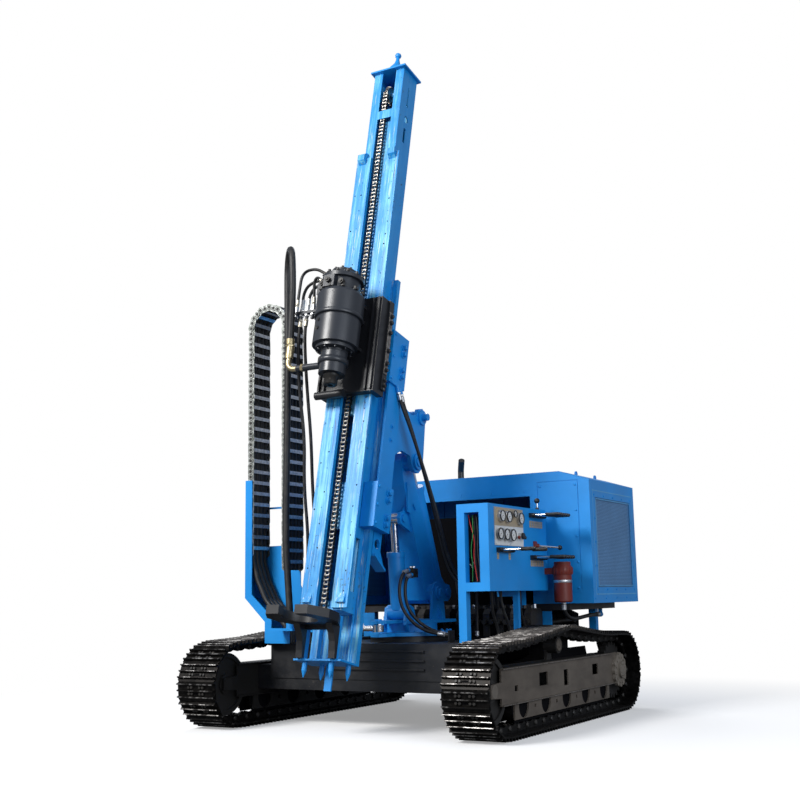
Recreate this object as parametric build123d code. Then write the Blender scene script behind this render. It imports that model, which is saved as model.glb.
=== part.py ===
from build123d import *
import math
import os

os.makedirs("parts", exist_ok=True)

# All lengths in mm.  X is the machine's left, Z is up.  While a piece is being
# shaped, Y is its station behind the front of the tracks; export() then moves
# every piece forward by CENTRE_STATION, so that the finished part is centred.
# Mast pieces are shaped on the mast's own axes: x across, y back from the rail
# face, z along the mast from its foot; mast_place() leans them back.

# ---------------------------------------------------------------- driving sizes
TRACK_LENGTH = 2830.0
TRACK_OUTER_WIDTH = 2450.0
SHOE_WIDTH = 333.0
MAST_LENGTH = 4680.0
MAST_WIDTH = 376.0
MAST_DEPTH = 225.0
MAST_LEAN = 13.0
HOOD_LENGTH = 1000.0
HOOD_HEIGHT = 1010.0
HOOD_HALF = 1200.0
CENTRE_STATION = 1270.0
RUN = 0.3
GAP = 6.0

# ---------------------------------------------------------------- undercarriage
WHEEL_HEIGHT = 305.0
GROUSER = 22.0
SHOE_RADIUS = WHEEL_HEIGHT - GROUSER
SHOE_PITCH = 135.0
GROUSERS_PER_SHOE = 3
RIDGE_FOOT = 9.0
RIDGE_TIP = 4.5
BELT_THICKNESS = 62.0
BEND_STEPS = 12
WHEEL_RADIUS = SHOE_RADIUS * math.cos(math.pi / BEND_STEPS / 2) - BELT_THICKNESS - RUN
IDLER_STATION = WHEEL_HEIGHT
SPROCKET_STATION = TRACK_LENGTH - WHEEL_HEIGHT
IDLER_WIDTH = 96.0
SPROCKET_WIDTH = 56.0
HUB_RADIUS = 128.0
HUB_SHAFT = 42.0
CARRIER_SHARE = 0.493
CARRIER_STATION = IDLER_STATION + CARRIER_SHARE * (SPROCKET_STATION - IDLER_STATION)
CARRIER_HEIGHT = 545.0
CARRIER_RADIUS = 58.0
ROLLER_RADIUS = 68.0
ROLLER_COUNT = 5
ROLLER_LOW = GROUSER + BELT_THICKNESS + RUN
TRACK_X = TRACK_OUTER_WIDTH / 2 - SHOE_WIDTH / 2
FRAME_HALF = 72.0
FRAME_LOW = 205.0
FRAME_HIGH = 440.0
FRAME_LIP = 14.0
FRAME_PLATE = 12.0
FRAME_FRONT = 400.0
FRAME_REAR = 2505.0
GUARD_LOW = 105.0
FRAME_WINDOWS = [
    # share of the length, half width, low, high
    (0.045, 26.0, 285.0, 322.0),
    (0.30, 72.0, 290.0, 378.0),
    (0.53, 40.0, 262.0, 372.0),
    (0.86, 60.0, 300.0, 378.0),
]

# ---------------------------------------------------------------- chassis and turret
BEAM_LOW = 330.0
BEAM_HIGH = 560.0
BEAM_DEPTH = 160.0
FRONT_BEAM = 640.0
REAR_BEAM = 2020.0
CARBODY_HALF = 430.0
DECK_THICK = 20.0
DECK_HIGH = BEAM_HIGH + DECK_THICK
SHOE_CLEARANCE = 32.0
DECK_HALF = TRACK_OUTER_WIDTH / 2 - SHOE_WIDTH - SHOE_CLEARANCE
SWING_STATION = 1200.0
TURRET_RADIUS = 330.0
RING_HEIGHT = 40.0
TURRET_LOW = DECK_HIGH + RING_HEIGHT + RUN
TABLE_THICK = 22.0
TABLE_HIGH = 730.0
ARM_HALF = 62.0
SWING_PIN_HEIGHT = 680.0

# pins, as (station, height)
BOOM_FOOT = (1360.0, 925.0)
LIFT_FOOT = (1060.0, 790.0)
LIFT_EYE = (1000.0, 1475.0)
TILT_FOOT = (1620.0, 930.0)
TILT_EYE = (1110.0, 2230.0)
MAST_PIN = (1030.0, 1890.0)
SWING_FOOT = (-560.0, 760.0)
SWING_EYE = (0.0, 760.0)
BOOM_HALF = 100.0
BOOM_EAR_X = 152.0
LIFT_EAR_X = 84.0
LIFT_LUG_X = 70.0
TILT_BOSS_X = 62.0
SWING_ROD_RADIUS = 19.0
SWING_TUBE = 340.0
LIFT_TUBE = 430.0
TILT_TUBE = 850.0
LIFT_ROD_RADIUS = 29.0
TILT_ROD_RADIUS = 35.0
TILT_LUG_X = 92.0
EAR_THICK = 24.0
PIN_RADIUS = 30.0

# ---------------------------------------------------------------- mast
MAST_STATION = -20.0
MAST_FOOT_HEIGHT = 500.0
MAST_WALL = 10.0
RAIL_LOW = 349.0
RAIL_DROP = 810.0
RAIL_HIGH = MAST_LENGTH - RAIL_DROP
RAIL_WIDTH = 125.0
RAIL_THICK = 20.0
TOP_BOX_WIDTH = 270.0
GUIDE_HIGH = 2850.0
GUIDE_DEPTH = 40.0
CHAIN_WIDTH = 44.0
CHAIN_THICK = 26.0
HEAD_AXIS = -240.0
CARRIAGE_LOW = 1860.0
CARRIAGE_HIGH = 2590.0
CARRIAGE_HALF = 236.0
PLATE_THICK = 40.0
CLAMP_ROWS = [
    # low, high along the mast
    (930.0, 1250.0),
    (2000.0, 2400.0),
]
CLAMP_OUT = 252.0
CLAMP_FRONT = 112.0
CARRIER_BACK = 330.0
CHEEK_X = 175.0
CHEEK_THICK = 30.0
SPINDLE_LOW = 1800.0
SPINDLE_HIGH = 1930.0
SOCKET_RADIUS = 26.0
SOCKET_DEPTH = 90.0
GUIDE_BORE = 118.0

# ---------------------------------------------------------------- hood and console
HOOD_FRONT = 1900.0
HOOD_REAR = HOOD_FRONT + HOOD_LENGTH
HOOD_LOW = 830.0
HOOD_HIGH = HOOD_LOW + HOOD_HEIGHT
CHAMFER_ACROSS = 243.0
CHAMFER_DOWN = 75.0
SKIN = 4.0
EAVE = HOOD_HIGH - CHAMFER_DOWN
COVER_X = (776.0, 1105.0)
COVER_Z = (914.0, 1760.0)
COVER_GAP = 5.0
OPENING_X = (-1120.0, 707.0)
OPENING_HIGH = 1660.0
GRILLE_Y = (95.0, 920.0)
GRILLE_Z = (930.0, 1650.0)
GRILLE_FRAME = 36.0
BASE_LOW = 780.0
BASE_HALF = DECK_HALF + 140
CONSOLE_X = (635.0, 880.0)
CONSOLE_Y = (790.0, 1790.0)
CONSOLE_Z = (930.0, 1533.0)
POST = 60.0
CANISTER_RADIUS = 68.0
LEVER_BANKS = [
    # first back from the console's front, count, pitch, down from its top, reach
    (140.0, 2, 190.0, 320.0, 290.0),
    (710.0, 6, 40.0, 52.0, 235.0),
    (710.0, 6, 40.0, 362.0, 260.0),
]


# ---------------------------------------------------------------- hose tower and chain
TOWER_Y = (560.0, 785.0)
TOWER_OUT = -1045.0
TOWER_IN = -690.0
TOWER_FOOT = (-DECK_HALF, -DECK_HALF + 220)
SHELF_END = -492.0
SHELF_Y = (395.0, 552.0)
SHELF_HIGH = 690.0
CHAIN_LEFT = TOWER_OUT + 14
CHAIN_RIGHT = TOWER_IN + 30
CHAIN_Y = (TOWER_Y[0] + 8 + RUN, TOWER_Y[1] - 6 - RUN)
CHAIN_CROWN = 2960.0
CHAIN_FOOT = (1240.0, 1130.0)
CHAIN_DEEP = 56.0
CHAIN_PITCH = 82.5
CHAIN_PLATE = 8.0
CHAIN_BAR = 8.0
LANES = 4
LANE_PITCH = 46.0
LANE_RADIUS = CHAIN_DEEP / 2 - CHAIN_BAR - RUN

# ---------------------------------------------------------------- hoses
ARC_SHARE = 0.45
SHEATH_RADIUS = 25.0
ELBOW_X = -385.0
ELBOW_Y = -250.0
ELBOW_LOW = 2010.0
ELBOW_TOP = 2185.0
MANIFOLD_X = (-385.0, -335.0, -285.0, -235.0)
MANIFOLD_LOW = 2400.0
MANIFOLD_HIGH = 2510.0
HEAD_PORT_X = -190.0
HEAD_PORTS = [
    # back, along the mast
    (-240.0, 2700.0),
    (-205.0, 2686.0),
]
VALVE_X = (112.0, 168.0)
VALVE_Y = (985.0, 1050.0)
VALVE_Z = (1035.0, 1108.0)
BULKHEAD_X = 470.0
HOSE_RADIUS = 12.0

# Each route lists (across, station, height) points from its upper fitting down.
SHEATH_ROUTE = [
    (-385, 224, 2692), (-376, 226, 2880), (-358, 221, 3115), (-365, 225, 3364), (-426, 292, 3455),
    (-513, 388, 3455), (-575, 455, 3364), (-577, 457, 3120), (-568, 452, 2640), (-588, 462, 1950),
    (-594, 455, 1350), (-568, 445, 1060), (-546, 434, 880), (-534, 426, 740),
]
FEED_ROUTES = [
    [
        (-335, 286, 2892), (-338, 266, 2806), (-350, 275, 2650), (-368, 310, 2380), (-362, 370, 2050),
        (-402, 415, 1700), (-374, 428, 1340), (-392, 440, 1060), (-460, 468, 880), (-512, 490, 740),
    ],
    [
        (-285, 286, 2892), (-287, 268, 2808), (-298, 285, 2650), (-312, 330, 2380), (-330, 405, 2040),
        (-352, 450, 1680), (-330, 462, 1330), (-350, 480, 1060), (-430, 512, 880), (-510, 534, 740),
    ],
]
CARRIER_ROUTES = [
    [
        (248, 714, 2347), (254, 740, 2265), (270, 815, 2110), (290, 935, 1830), (315, 1030, 1560),
        (338, 1095, 1330), (362, 1125, 1160), (410, 1150, 1030), (480, 1165, 975), (548, 1166,
            961), (604, 1165, 960),
    ],
    [
        (248, 677, 2356), (259, 694, 2270), (286, 765, 2115), (320, 890, 1830), (350, 1000, 1555),
        (374, 1075, 1315), (398, 1115, 1145), (440, 1165, 1030), (500, 1204, 974), (552, 1206,
            961), (604, 1205, 960),
    ],
]
VALVE_ROUTES = [
    [
        (128, 970, 1088), (126, 922, 1078), (120, 878, 1025), (118, 858, 935), (135, 858, 835), (186,
            876, 745),
        (262, 903, 678), (350, 932, 642), (440, 950, 630),
    ],
    [
        (152, 970, 1055), (151, 928, 1046), (150, 898, 1000), (152, 885, 922), (168, 884, 838), (208,
            900, 762),
        (272, 925, 698), (352, 962, 650), (440, 985, 630),
    ],
]
RETURN_ROUTE = [
    (1008, 1772, 840), (1008, 1776, 790), (1011, 1805, 748), (1016, 1862, 722), (1021, 1955, 714),
    (1016, 2095, 722), (1002, 2290, 733), (970, 2460, 735), (968, 2600, 735),
]
HEAD_ROUTES = [
    [(-335, -240, 2510), (-341, -242, 2600), (-318, -244, 2664), (-262, -242, 2698), (-190, -240, 2700)],
    [(-285, -240, 2510), (-291, -232, 2588), (-276, -220, 2650), (-238, -209, 2684), (-190, -205, 2686)],
]
CONSOLE_DROPS = [
    # across, station, sway
    (712.0, 1150.0, 8.0),
    (738.0, 1250.0, -6.0),
    (784.0, 1480.0, 12.0),
    (722.0, 1560.0, -8.0),
]
SHELF_HOSES = [(SHEATH_ROUTE, SHEATH_RADIUS), (FEED_ROUTES[0], HOSE_RADIUS), (FEED_ROUTES[1], HOSE_RADIUS)]


# ---------------------------------------------------------------- helpers
def block(x0, x1, y0, y1, z0, z1):
    centre = ((x0 + x1) / 2, (y0 + y1) / 2, (z0 + z1) / 2)
    return Location(centre) * Box(abs(x1 - x0), abs(y1 - y0), abs(z1 - z0))


def rod_x(x0, x1, y, z, r):
    return Location(((x0 + x1) / 2, y, z), (0, 90, 0)) * Cylinder(r, abs(x1 - x0))


def rod_y(x, y0, y1, z, r):
    return Location((x, (y0 + y1) / 2, z), (90, 0, 0)) * Cylinder(r, abs(y1 - y0))


def rod_z(x, y, z0, z1, r):
    return Location((x, y, (z0 + z1) / 2)) * Cylinder(r, abs(z1 - z0))


def plate(points, normal, start, thick):
    """Flat plate from (a, b) points: normal 'x' takes (y, z), 'y' (x, z), 'z' (x, y)."""
    if normal == "x":
        corners = [(start, a, b) for a, b in points]
        direction = (1, 0, 0)
    elif normal == "y":
        corners = [(a, start, b) for a, b in points]
        direction = (0, 1, 0)
    else:
        corners = [(a, b, start) for a, b in points]
        direction = (0, 0, 1)
    face = Face(Wire.make_polygon([Vector(*c) for c in corners], close=True))
    return extrude(face, amount=thick, dir=direction)


def spun(rows, x, y):
    """Turned piece about the vertical line at (x, y) from (radius, height) rows."""
    corners = [Vector(x, y, rows[0][1])]
    corners += [Vector(x + r, y, z) for r, z in rows]
    corners += [Vector(x, y, rows[-1][1])]
    face = Face(Wire.make_polygon(corners, close=True))
    return revolve(face, Axis((x, y, 0), (0, 0, 1)), 360)


def between(p, q, r0, r1, x, radius):
    """Rod in the plane at x along the line from pin p to pin q, from distance r0 to r1."""
    dy, dz = q[0] - p[0], q[1] - p[1]
    length = math.hypot(dy, dz)
    uy, uz = dy / length, dz / length
    mid = (r0 + r1) / 2
    angle = math.degrees(math.atan2(-uy, uz))
    place = Location((x, p[0] + uy * mid, p[1] + uz * mid), (angle, 0, 0))
    return place * Cylinder(radius, r1 - r0)


def distance(p, q):
    return math.hypot(q[0] - p[0], q[1] - p[1])


def mast_place(shape):
    return Location((0, MAST_STATION, MAST_FOOT_HEIGHT), (-MAST_LEAN, 0, 0)) * shape


def mast_local(pin):
    t = math.radians(MAST_LEAN)
    dy, dz = pin[0] - MAST_STATION, pin[1] - MAST_FOOT_HEIGHT
    return (dy * math.cos(t) - dz * math.sin(t), dy * math.sin(t) + dz * math.cos(t))


def export(name, shape):
    moved = Location((0, -CENTRE_STATION, 0)) * shape
    export_step(moved, "parts/" + name + ".step")
    solids = moved.solids()
    print(name, len(solids), round(sum(s.volume for s in solids) / 1e6, 2), "litres")


# ---------------------------------------------------------------- tracks
def track_path():
    """Closed line of the shoes' plate face as (station, height), from the front top, rearward."""
    top = WHEEL_HEIGHT + SHOE_RADIUS
    crown = CARRIER_HEIGHT + CARRIER_RADIUS + BELT_THICKNESS + RUN
    span = SPROCKET_STATION - IDLER_STATION
    points = [
        (IDLER_STATION, top),
        (IDLER_STATION + 0.17 * span, top + 12),
        (CARRIER_STATION - 190, crown - 16),
        (CARRIER_STATION - 30, crown),
        (CARRIER_STATION + 30, crown),
        (CARRIER_STATION + 150, crown - 14),
        (CARRIER_STATION + 0.20 * span, top + 30),
        (CARRIER_STATION + 0.33 * span, top + 6),
        (SPROCKET_STATION, top),
    ]
    for i in range(1, BEND_STEPS):
        a = math.pi * i / BEND_STEPS
        points.append((SPROCKET_STATION + SHOE_RADIUS * math.sin(a),
            WHEEL_HEIGHT + SHOE_RADIUS * math.cos(a)))
    points.append((SPROCKET_STATION, GROUSER))
    points.append((IDLER_STATION, GROUSER))
    for i in range(1, BEND_STEPS):
        a = math.pi * i / BEND_STEPS
        points.append((IDLER_STATION - SHOE_RADIUS * math.sin(a), WHEEL_HEIGHT - SHOE_RADIUS * math.cos(a)))
    return points


def walk(points, along):
    """Point and outward normal at a distance along a closed clockwise line."""
    count = len(points)
    left = along
    for i in range(count):
        p, q = points[i], points[(i + 1) % count]
        step = math.hypot(q[0] - p[0], q[1] - p[1])
        if left <= step:
            ty, tz = (q[0] - p[0]) / step, (q[1] - p[1]) / step
            return (p[0] + ty * left, p[1] + tz * left), (-tz, ty)
        left -= step
    return points[0], (0.0, 1.0)


def offset_inward(points, depth):
    """Closed line moved inward by depth; each corner goes to where its two moved sides meet."""
    out = []
    count = len(points)
    for i in range(count):
        p, c, q = points[i - 1], points[i], points[(i + 1) % count]
        a = math.hypot(c[0] - p[0], c[1] - p[1])
        b = math.hypot(q[0] - c[0], q[1] - c[1])
        n1 = ((c[1] - p[1]) / a, -(c[0] - p[0]) / a)
        n2 = ((q[1] - c[1]) / b, -(q[0] - c[0]) / b)
        k = depth / (1 + n1[0] * n2[0] + n1[1] * n2[1])
        out.append((c[0] + (n1[0] + n2[0]) * k, c[1] + (n1[1] + n2[1]) * k))
    return out


def track(side):
    line = track_path()
    total = 0.0
    for i in range(len(line)):
        total += math.hypot(line[i][0] - line[i - 1][0], line[i][1] - line[i - 1][1])
    ridges = round(total / SHOE_PITCH) * GROUSERS_PER_SHOE
    pitch = total / ridges
    mid = pitch / 2
    tooth = [(mid - RIDGE_FOOT, 0), (mid - RIDGE_TIP, GROUSER), (mid + RIDGE_TIP, GROUSER),
        (mid + RIDGE_FOOT, 0)]
    outline = []
    for i in range(ridges):
        for along, height in tooth:
            spot, normal = walk(line, i * pitch + along)
            outline.append((spot[0] + normal[0] * height, spot[1] + normal[1] * height))
    inner = offset_inward(line, BELT_THICKNESS)
    x0 = side * TRACK_X - SHOE_WIDTH / 2
    belt = plate(outline, "x", x0, SHOE_WIDTH)
    hollow = plate(inner, "x", x0 - 5, SHOE_WIDTH + 10)
    return belt - hollow


def roller_stations():
    first = IDLER_STATION + 425
    last = SPROCKET_STATION - 325
    return [first + (last - first) * i / (ROLLER_COUNT - 1) for i in range(ROLLER_COUNT)]


def track_frame(side):
    """Box side frame with lips, windows, notched roller guards, rollers, idler arms and sprocket arms."""
    cx = side * TRACK_X
    wall = 10.0
    front = IDLER_STATION + WHEEL_RADIUS + 22
    rear = SPROCKET_STATION - WHEEL_RADIUS - 22
    body = block(cx - FRAME_HALF, cx + FRAME_HALF, front, rear, FRAME_LOW, FRAME_HIGH)
    body -= block(cx - FRAME_HALF + wall, cx + FRAME_HALF - wall, front - 5, rear + 5, FRAME_LOW + wall,
        FRAME_HIGH - wall)
    arm_in = IDLER_WIDTH / 2 + RUN + 1
    stations = roller_stations()
    for s in (-1, 1):
        out = cx + s * FRAME_HALF
        arm = [
            (IDLER_STATION - 56, WHEEL_HEIGHT - 42), (front + 40, WHEEL_HEIGHT - 60), (front + 40,
                WHEEL_HEIGHT + 60),
            (IDLER_STATION - 56, WHEEL_HEIGHT + 42),
        ]
        body += plate(arm, "x", min(cx + s * arm_in, out), FRAME_HALF - arm_in)
        arm = [
            (rear - 40, WHEEL_HEIGHT - 80), (SPROCKET_STATION + 40, WHEEL_HEIGHT - 60),
            (SPROCKET_STATION + 40, WHEEL_HEIGHT + 60), (rear - 40, WHEEL_HEIGHT + 80),
        ]
        body += plate(arm, "x", min(cx + s * arm_in, out), FRAME_HALF - arm_in)
        skin_in = cx + s * (FRAME_HALF - FRAME_PLATE)
        body += block(skin_in, out, FRAME_FRONT, front + 5, FRAME_LOW, FRAME_HIGH)
        body += block(skin_in, out, rear - 5, FRAME_REAR, FRAME_LOW, FRAME_HIGH)
        lip = out + s * FRAME_LIP
        for z in (FRAME_LOW, FRAME_HIGH - 8):
            body += block(out - s, lip, FRAME_FRONT, FRAME_REAR - HUB_RADIUS, z, z + 8)
        guard = block(skin_in, out, stations[0] - 140, stations[-1] + 120, GUARD_LOW, FRAME_LOW + 5)
        for y in stations:
            guard -= rod_x(skin_in - s * 20, out + s * 20, y, FRAME_LOW - 20, ROLLER_RADIUS + 10)
        for a, b in zip(stations, stations[1:]):
            middle = (a + b) / 2
            guard -= block(skin_in - s * 20, out + s * 20, middle - 14, middle + 14, GUARD_LOW + 53,
                GUARD_LOW + 77)
        body += guard
    for share, half, low, high in FRAME_WINDOWS:
        y = front + share * (rear - front)
        body -= block(cx + side * 50, cx + side * 100, y - half, y + half, low, high)
    for y in stations:
        z = ROLLER_LOW + ROLLER_RADIUS
        body += rod_x(cx - 52, cx + 52, y, z, ROLLER_RADIUS)
        body += block(cx - 57, cx + 57, y - 26, y + 26, z - 10, FRAME_LOW + 8)
    body += block(cx - 45, cx - 25, CARRIER_STATION - 45, CARRIER_STATION + 45, FRAME_HIGH - 5,
        CARRIER_HEIGHT + 20)
    body += rod_x(cx - 46, cx + 52, CARRIER_STATION, CARRIER_HEIGHT, CARRIER_RADIUS)
    for wheel in (IDLER_STATION, SPROCKET_STATION):
        body -= rod_x(cx - 90, cx + 90, wheel, WHEEL_HEIGHT, HUB_SHAFT + RUN)
    return body


def idler(side):
    cx = side * TRACK_X
    half = IDLER_WIDTH / 2
    body = rod_x(cx - half, cx + half, IDLER_STATION, WHEEL_HEIGHT, WHEEL_RADIUS)
    for s in (-1, 1):
        body -= rod_x(cx + s * (half - 14), cx + s * (half + 5), IDLER_STATION, WHEEL_HEIGHT,
            WHEEL_RADIUS - 34)
        body += rod_x(cx + s * (half - 15), cx + s * (half + 1), IDLER_STATION, WHEEL_HEIGHT, 70)
    body += rod_x(cx - FRAME_HALF, cx + FRAME_HALF, IDLER_STATION, WHEEL_HEIGHT, HUB_SHAFT)
    return body


def sprocket(side):
    """Toothed ring, final drive hub with its scalloped cover."""
    cx = side * TRACK_X
    half = SPROCKET_WIDTH / 2
    teeth = 21
    rim = []
    for i in range(teeth):
        for step, radius in [(-0.32, -26), (-0.14, 0), (0.14, 0), (0.32, -26)]:
            a = 2 * math.pi * (i + step) / teeth
            r = WHEEL_RADIUS + radius
            rim.append((SPROCKET_STATION + r * math.cos(a), WHEEL_HEIGHT + r * math.sin(a)))
    body = plate(rim, "x", cx - half, SPROCKET_WIDTH)
    body += rod_x(cx - FRAME_HALF, cx + FRAME_HALF, SPROCKET_STATION, WHEEL_HEIGHT, HUB_SHAFT)
    cover_in = cx + side * FRAME_HALF
    lobes = []
    for i in range(12):
        for step, radius in [(-0.3, 0), (0, 6), (0.3, 0), (0.5, -14)]:
            a = 2 * math.pi * (i + step) / 12
            r = HUB_RADIUS + radius
            lobes.append((SPROCKET_STATION + r * math.cos(a), WHEEL_HEIGHT + r * math.sin(a)))
    x0 = min(cover_in, cover_in + side * 26)
    body += plate(lobes, "x", x0 + 0.5 * side, 25)
    body += rod_x(cover_in, cover_in + side * 46, SPROCKET_STATION, WHEEL_HEIGHT, 62)
    motor = cx - side * FRAME_HALF
    body += rod_x(motor, motor - side * 60, SPROCKET_STATION, WHEEL_HEIGHT, 105)
    return body


# ---------------------------------------------------------------- chassis
def axle(station):
    """Cross beam between the track frames, with necks that pass inside the track loops."""
    neck = TRACK_X - FRAME_HALF
    body = block(-DECK_HALF, DECK_HALF, station, station + BEAM_DEPTH, BEAM_LOW, BEAM_HIGH)
    body += block(-neck, neck, station + 8, station + BEAM_DEPTH - 8, 250, 425)
    return body


def front_axle():
    body = axle(FRONT_BEAM)
    for z in (405, 465, 530):
        body += block(-440, 440, FRONT_BEAM - 16, FRONT_BEAM + 1, z - 5, z + 5)
    return body


def carbody():
    y0, y1 = FRONT_BEAM + BEAM_DEPTH, REAR_BEAM
    body = block(-CARBODY_HALF, CARBODY_HALF, y0, y1, BEAM_LOW + 20, BEAM_HIGH)
    body -= block(-CARBODY_HALF + 14, CARBODY_HALF - 14, y0 + 14, y1 - 14, BEAM_LOW, BEAM_HIGH - 14)
    return body


def deck():
    body = block(-DECK_HALF, DECK_HALF, FRONT_BEAM, HOOD_REAR - 20, BEAM_HIGH, DECK_HIGH)
    body += rod_z(0, SWING_STATION, DECK_HIGH - 1, DECK_HIGH + RING_HEIGHT, TURRET_RADIUS - 40)
    for s in (-1, 1):
        body += block(s * 500 - 40, s * 500 + 40, REAR_BEAM + BEAM_DEPTH, HOOD_REAR - 20,
            BEAM_HIGH - 90, BEAM_HIGH + 1)
    body += block(SWING_FOOT[0] - 50, SWING_FOOT[0] + 8, SWING_FOOT[1] - 50, SWING_FOOT[1] + 50,
        DECK_HIGH - 1, SWING_PIN_HEIGHT - 24)
    body += block(BULKHEAD_X, BULKHEAD_X + 12, 930, 1010, DECK_HIGH - 1, 662)
    for route in VALVE_ROUTES:
        body += fitting(route[-1], route[-2], HOSE_RADIUS + 4, 36)
    return body


def hood_base():
    """Tube ring under the engine house with its legs and side sheets."""
    x, y0, y1 = BASE_HALF, HOOD_FRONT + 10, HOOD_REAR - 10
    leg = DECK_HALF - 120
    body = block(-x, x, y0, y1, BASE_LOW, HOOD_LOW)
    body -= block(-x + 60, x - 60, y0 + 60, y1 - 60, BASE_LOW - 5, HOOD_LOW + 5)
    body += block(-400, -340, y0 + 50, y1 - 50, BASE_LOW, HOOD_LOW)
    body += block(340, 400, y0 + 50, y1 - 50, BASE_LOW, HOOD_LOW)
    for s in (-1, 1):
        body += block(s * leg, s * (leg + 60), y0, y0 + 60, DECK_HIGH, BASE_LOW + 1)
        body += block(s * (leg + 50), s * (leg + 110), y1 - 60, y1, DECK_HIGH, BASE_LOW + 1)
        body += block(s * leg, s * (leg + 110), y0, y0 + 6, DECK_HIGH, BASE_LOW + 1)
        body += block(s * 340, s * 400, y0, y0 + 60, DECK_HIGH, BASE_LOW + 1)
    x, y, z = RETURN_ROUTE[-1]
    body += fitting(RETURN_ROUTE[-1], RETURN_ROUTE[-2], 21, 44)
    body += block(x - 14, x + 14, y + 20, y + 44, z, BASE_LOW + 1)
    return body


# ---------------------------------------------------------------- turret and its cylinders
def turret():
    """Swing table: ring, two swing-arm plates, table plate and the three sets of ears."""
    y = SWING_STATION
    body = rod_z(0, y, TURRET_LOW, TURRET_LOW + 26, TURRET_RADIUS)
    body += rod_z(0, y, TURRET_LOW, TABLE_HIGH, 210)
    arm = [(-ARM_HALF, y), (-ARM_HALF, SWING_EYE[1] + 10), (-ARM_HALF * 0.55, SWING_EYE[1] - 50)]
    arm += [(ARM_HALF * 0.55, SWING_EYE[1] - 50), (ARM_HALF, SWING_EYE[1] + 10), (ARM_HALF, y)]
    body += plate(arm, "z", TURRET_LOW, TABLE_THICK)
    body += plate(arm, "z", SWING_PIN_HEIGHT + 32, TABLE_THICK)
    body += rod_z(SWING_EYE[0], SWING_EYE[1], SWING_PIN_HEIGHT + 32, SWING_PIN_HEIGHT + 66, 26)
    table = [(-200, y - 205), (200, y - 205), (225, y + 330), (110, TILT_FOOT[0] - 30),
        (-110, TILT_FOOT[0] - 30)]
    table += [(-225, y + 330)]
    body += plate(table, "z", TABLE_HIGH - TABLE_THICK, TABLE_THICK)
    fy, fz = BOOM_FOOT
    ly, lz = LIFT_FOOT
    for s in (-1, 1):
        ear = [(fy - 95, TABLE_HIGH - 1), (fy + 110, TABLE_HIGH - 1), (fy + 78, fz + 30),
            (fy + 45, fz + 70)]
        ear += [(fy, fz + 84), (fy - 45, fz + 70), (fy - 76, fz + 30)]
        body += plate(ear, "x", s * BOOM_EAR_X - EAR_THICK / 2, EAR_THICK)
        gusset = [(s * BOOM_EAR_X, TABLE_HIGH - 1), (s * (BOOM_EAR_X + 70), TABLE_HIGH - 1),
            (s * BOOM_EAR_X, fz - 60)]
        body += plate(gusset, "y", fy - 10, 20)
        body += rod_x(s * (BOOM_EAR_X + 11), s * (BOOM_EAR_X + 30), fy, fz, 52)
        body += rod_x(s * (BOOM_EAR_X + 29), s * (BOOM_EAR_X + 46), fy, fz, PIN_RADIUS)
        ear = [(ly - 70, TABLE_HIGH - 1), (ly + 80, TABLE_HIGH - 1), (ly + 50, lz + 30), (ly, lz + 52),
            (ly - 50, lz + 30)]
        body += plate(ear, "x", s * LIFT_EAR_X - EAR_THICK / 2, EAR_THICK)
        body += rod_x(s * (LIFT_EAR_X + 11), s * (LIFT_EAR_X + 26), ly, lz, PIN_RADIUS)
        nose = [(y - 190, TABLE_HIGH - 10), (ly - 70, TABLE_HIGH - 10), (ly - 88, 700), (ly - 60, 650),
            (y - 120, TURRET_LOW + 10)]
        body += plate(nose, "x", s * 95 - 12, 24)
    return body


def barrel(foot, eye, length, radius, half_eye, rod_radius):
    """Cylinder tube with foot eye, gland collar and port block, bored for its rod."""
    body = between(foot, eye, 20, length, 0, radius)
    body += between(foot, eye, length - 26, length + 10, 0, radius + 7)
    body += rod_x(-half_eye, half_eye, foot[0], foot[1], radius * 0.9)
    body -= between(foot, eye, 88, length + 20, 0, rod_radius + RUN)
    return body


def rod(foot, eye, inside, radius, half_eye, eye_radius):
    total = distance(foot, eye)
    body = between(foot, eye, inside, total - 10, 0, radius)
    body += rod_x(-half_eye, half_eye, eye[0], eye[1], eye_radius)
    return body


def swing_barrel():
    x0, y0 = SWING_FOOT
    z = SWING_PIN_HEIGHT
    body = rod_x(x0 + 10, x0 + SWING_TUBE, y0, z, 42)
    body += rod_x(x0 + SWING_TUBE - 30, x0 + SWING_TUBE + 5, y0, z, 48)
    body += rod_z(x0, y0, z - 24, z + 24, 40)
    body -= rod_x(x0 + 60, x0 + SWING_TUBE + 20, y0, z, SWING_ROD_RADIUS + RUN)
    return body


def swing_rod():
    x1, y1 = SWING_EYE
    z = SWING_PIN_HEIGHT
    body = rod_x(SWING_FOOT[0] + 190, x1 - 10, y1, z, SWING_ROD_RADIUS)
    body += rod_z(x1, y1, z - 24, z + 24, 42)
    return body


def lift_barrel():
    """Boom cylinder's tube with the valve block on its side bracket."""
    body = barrel(LIFT_FOOT, LIFT_EYE, LIFT_TUBE, 62, LIFT_EAR_X - EAR_THICK / 2 - RUN, LIFT_ROD_RADIUS)
    x0, x1 = VALVE_X
    y0, y1 = VALVE_Y
    z0, z1 = VALVE_Z
    body += block(52, x0 + 1, y0 + 25, y1, (z0 + z1) / 2 - 5, (z0 + z1) / 2 + 5)
    body += block(x0, x1, y0, y1, z0, z1)
    for route in VALVE_ROUTES:
        body += fitting(route[0], route[1], HOSE_RADIUS + 3, 18)
    return body


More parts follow.
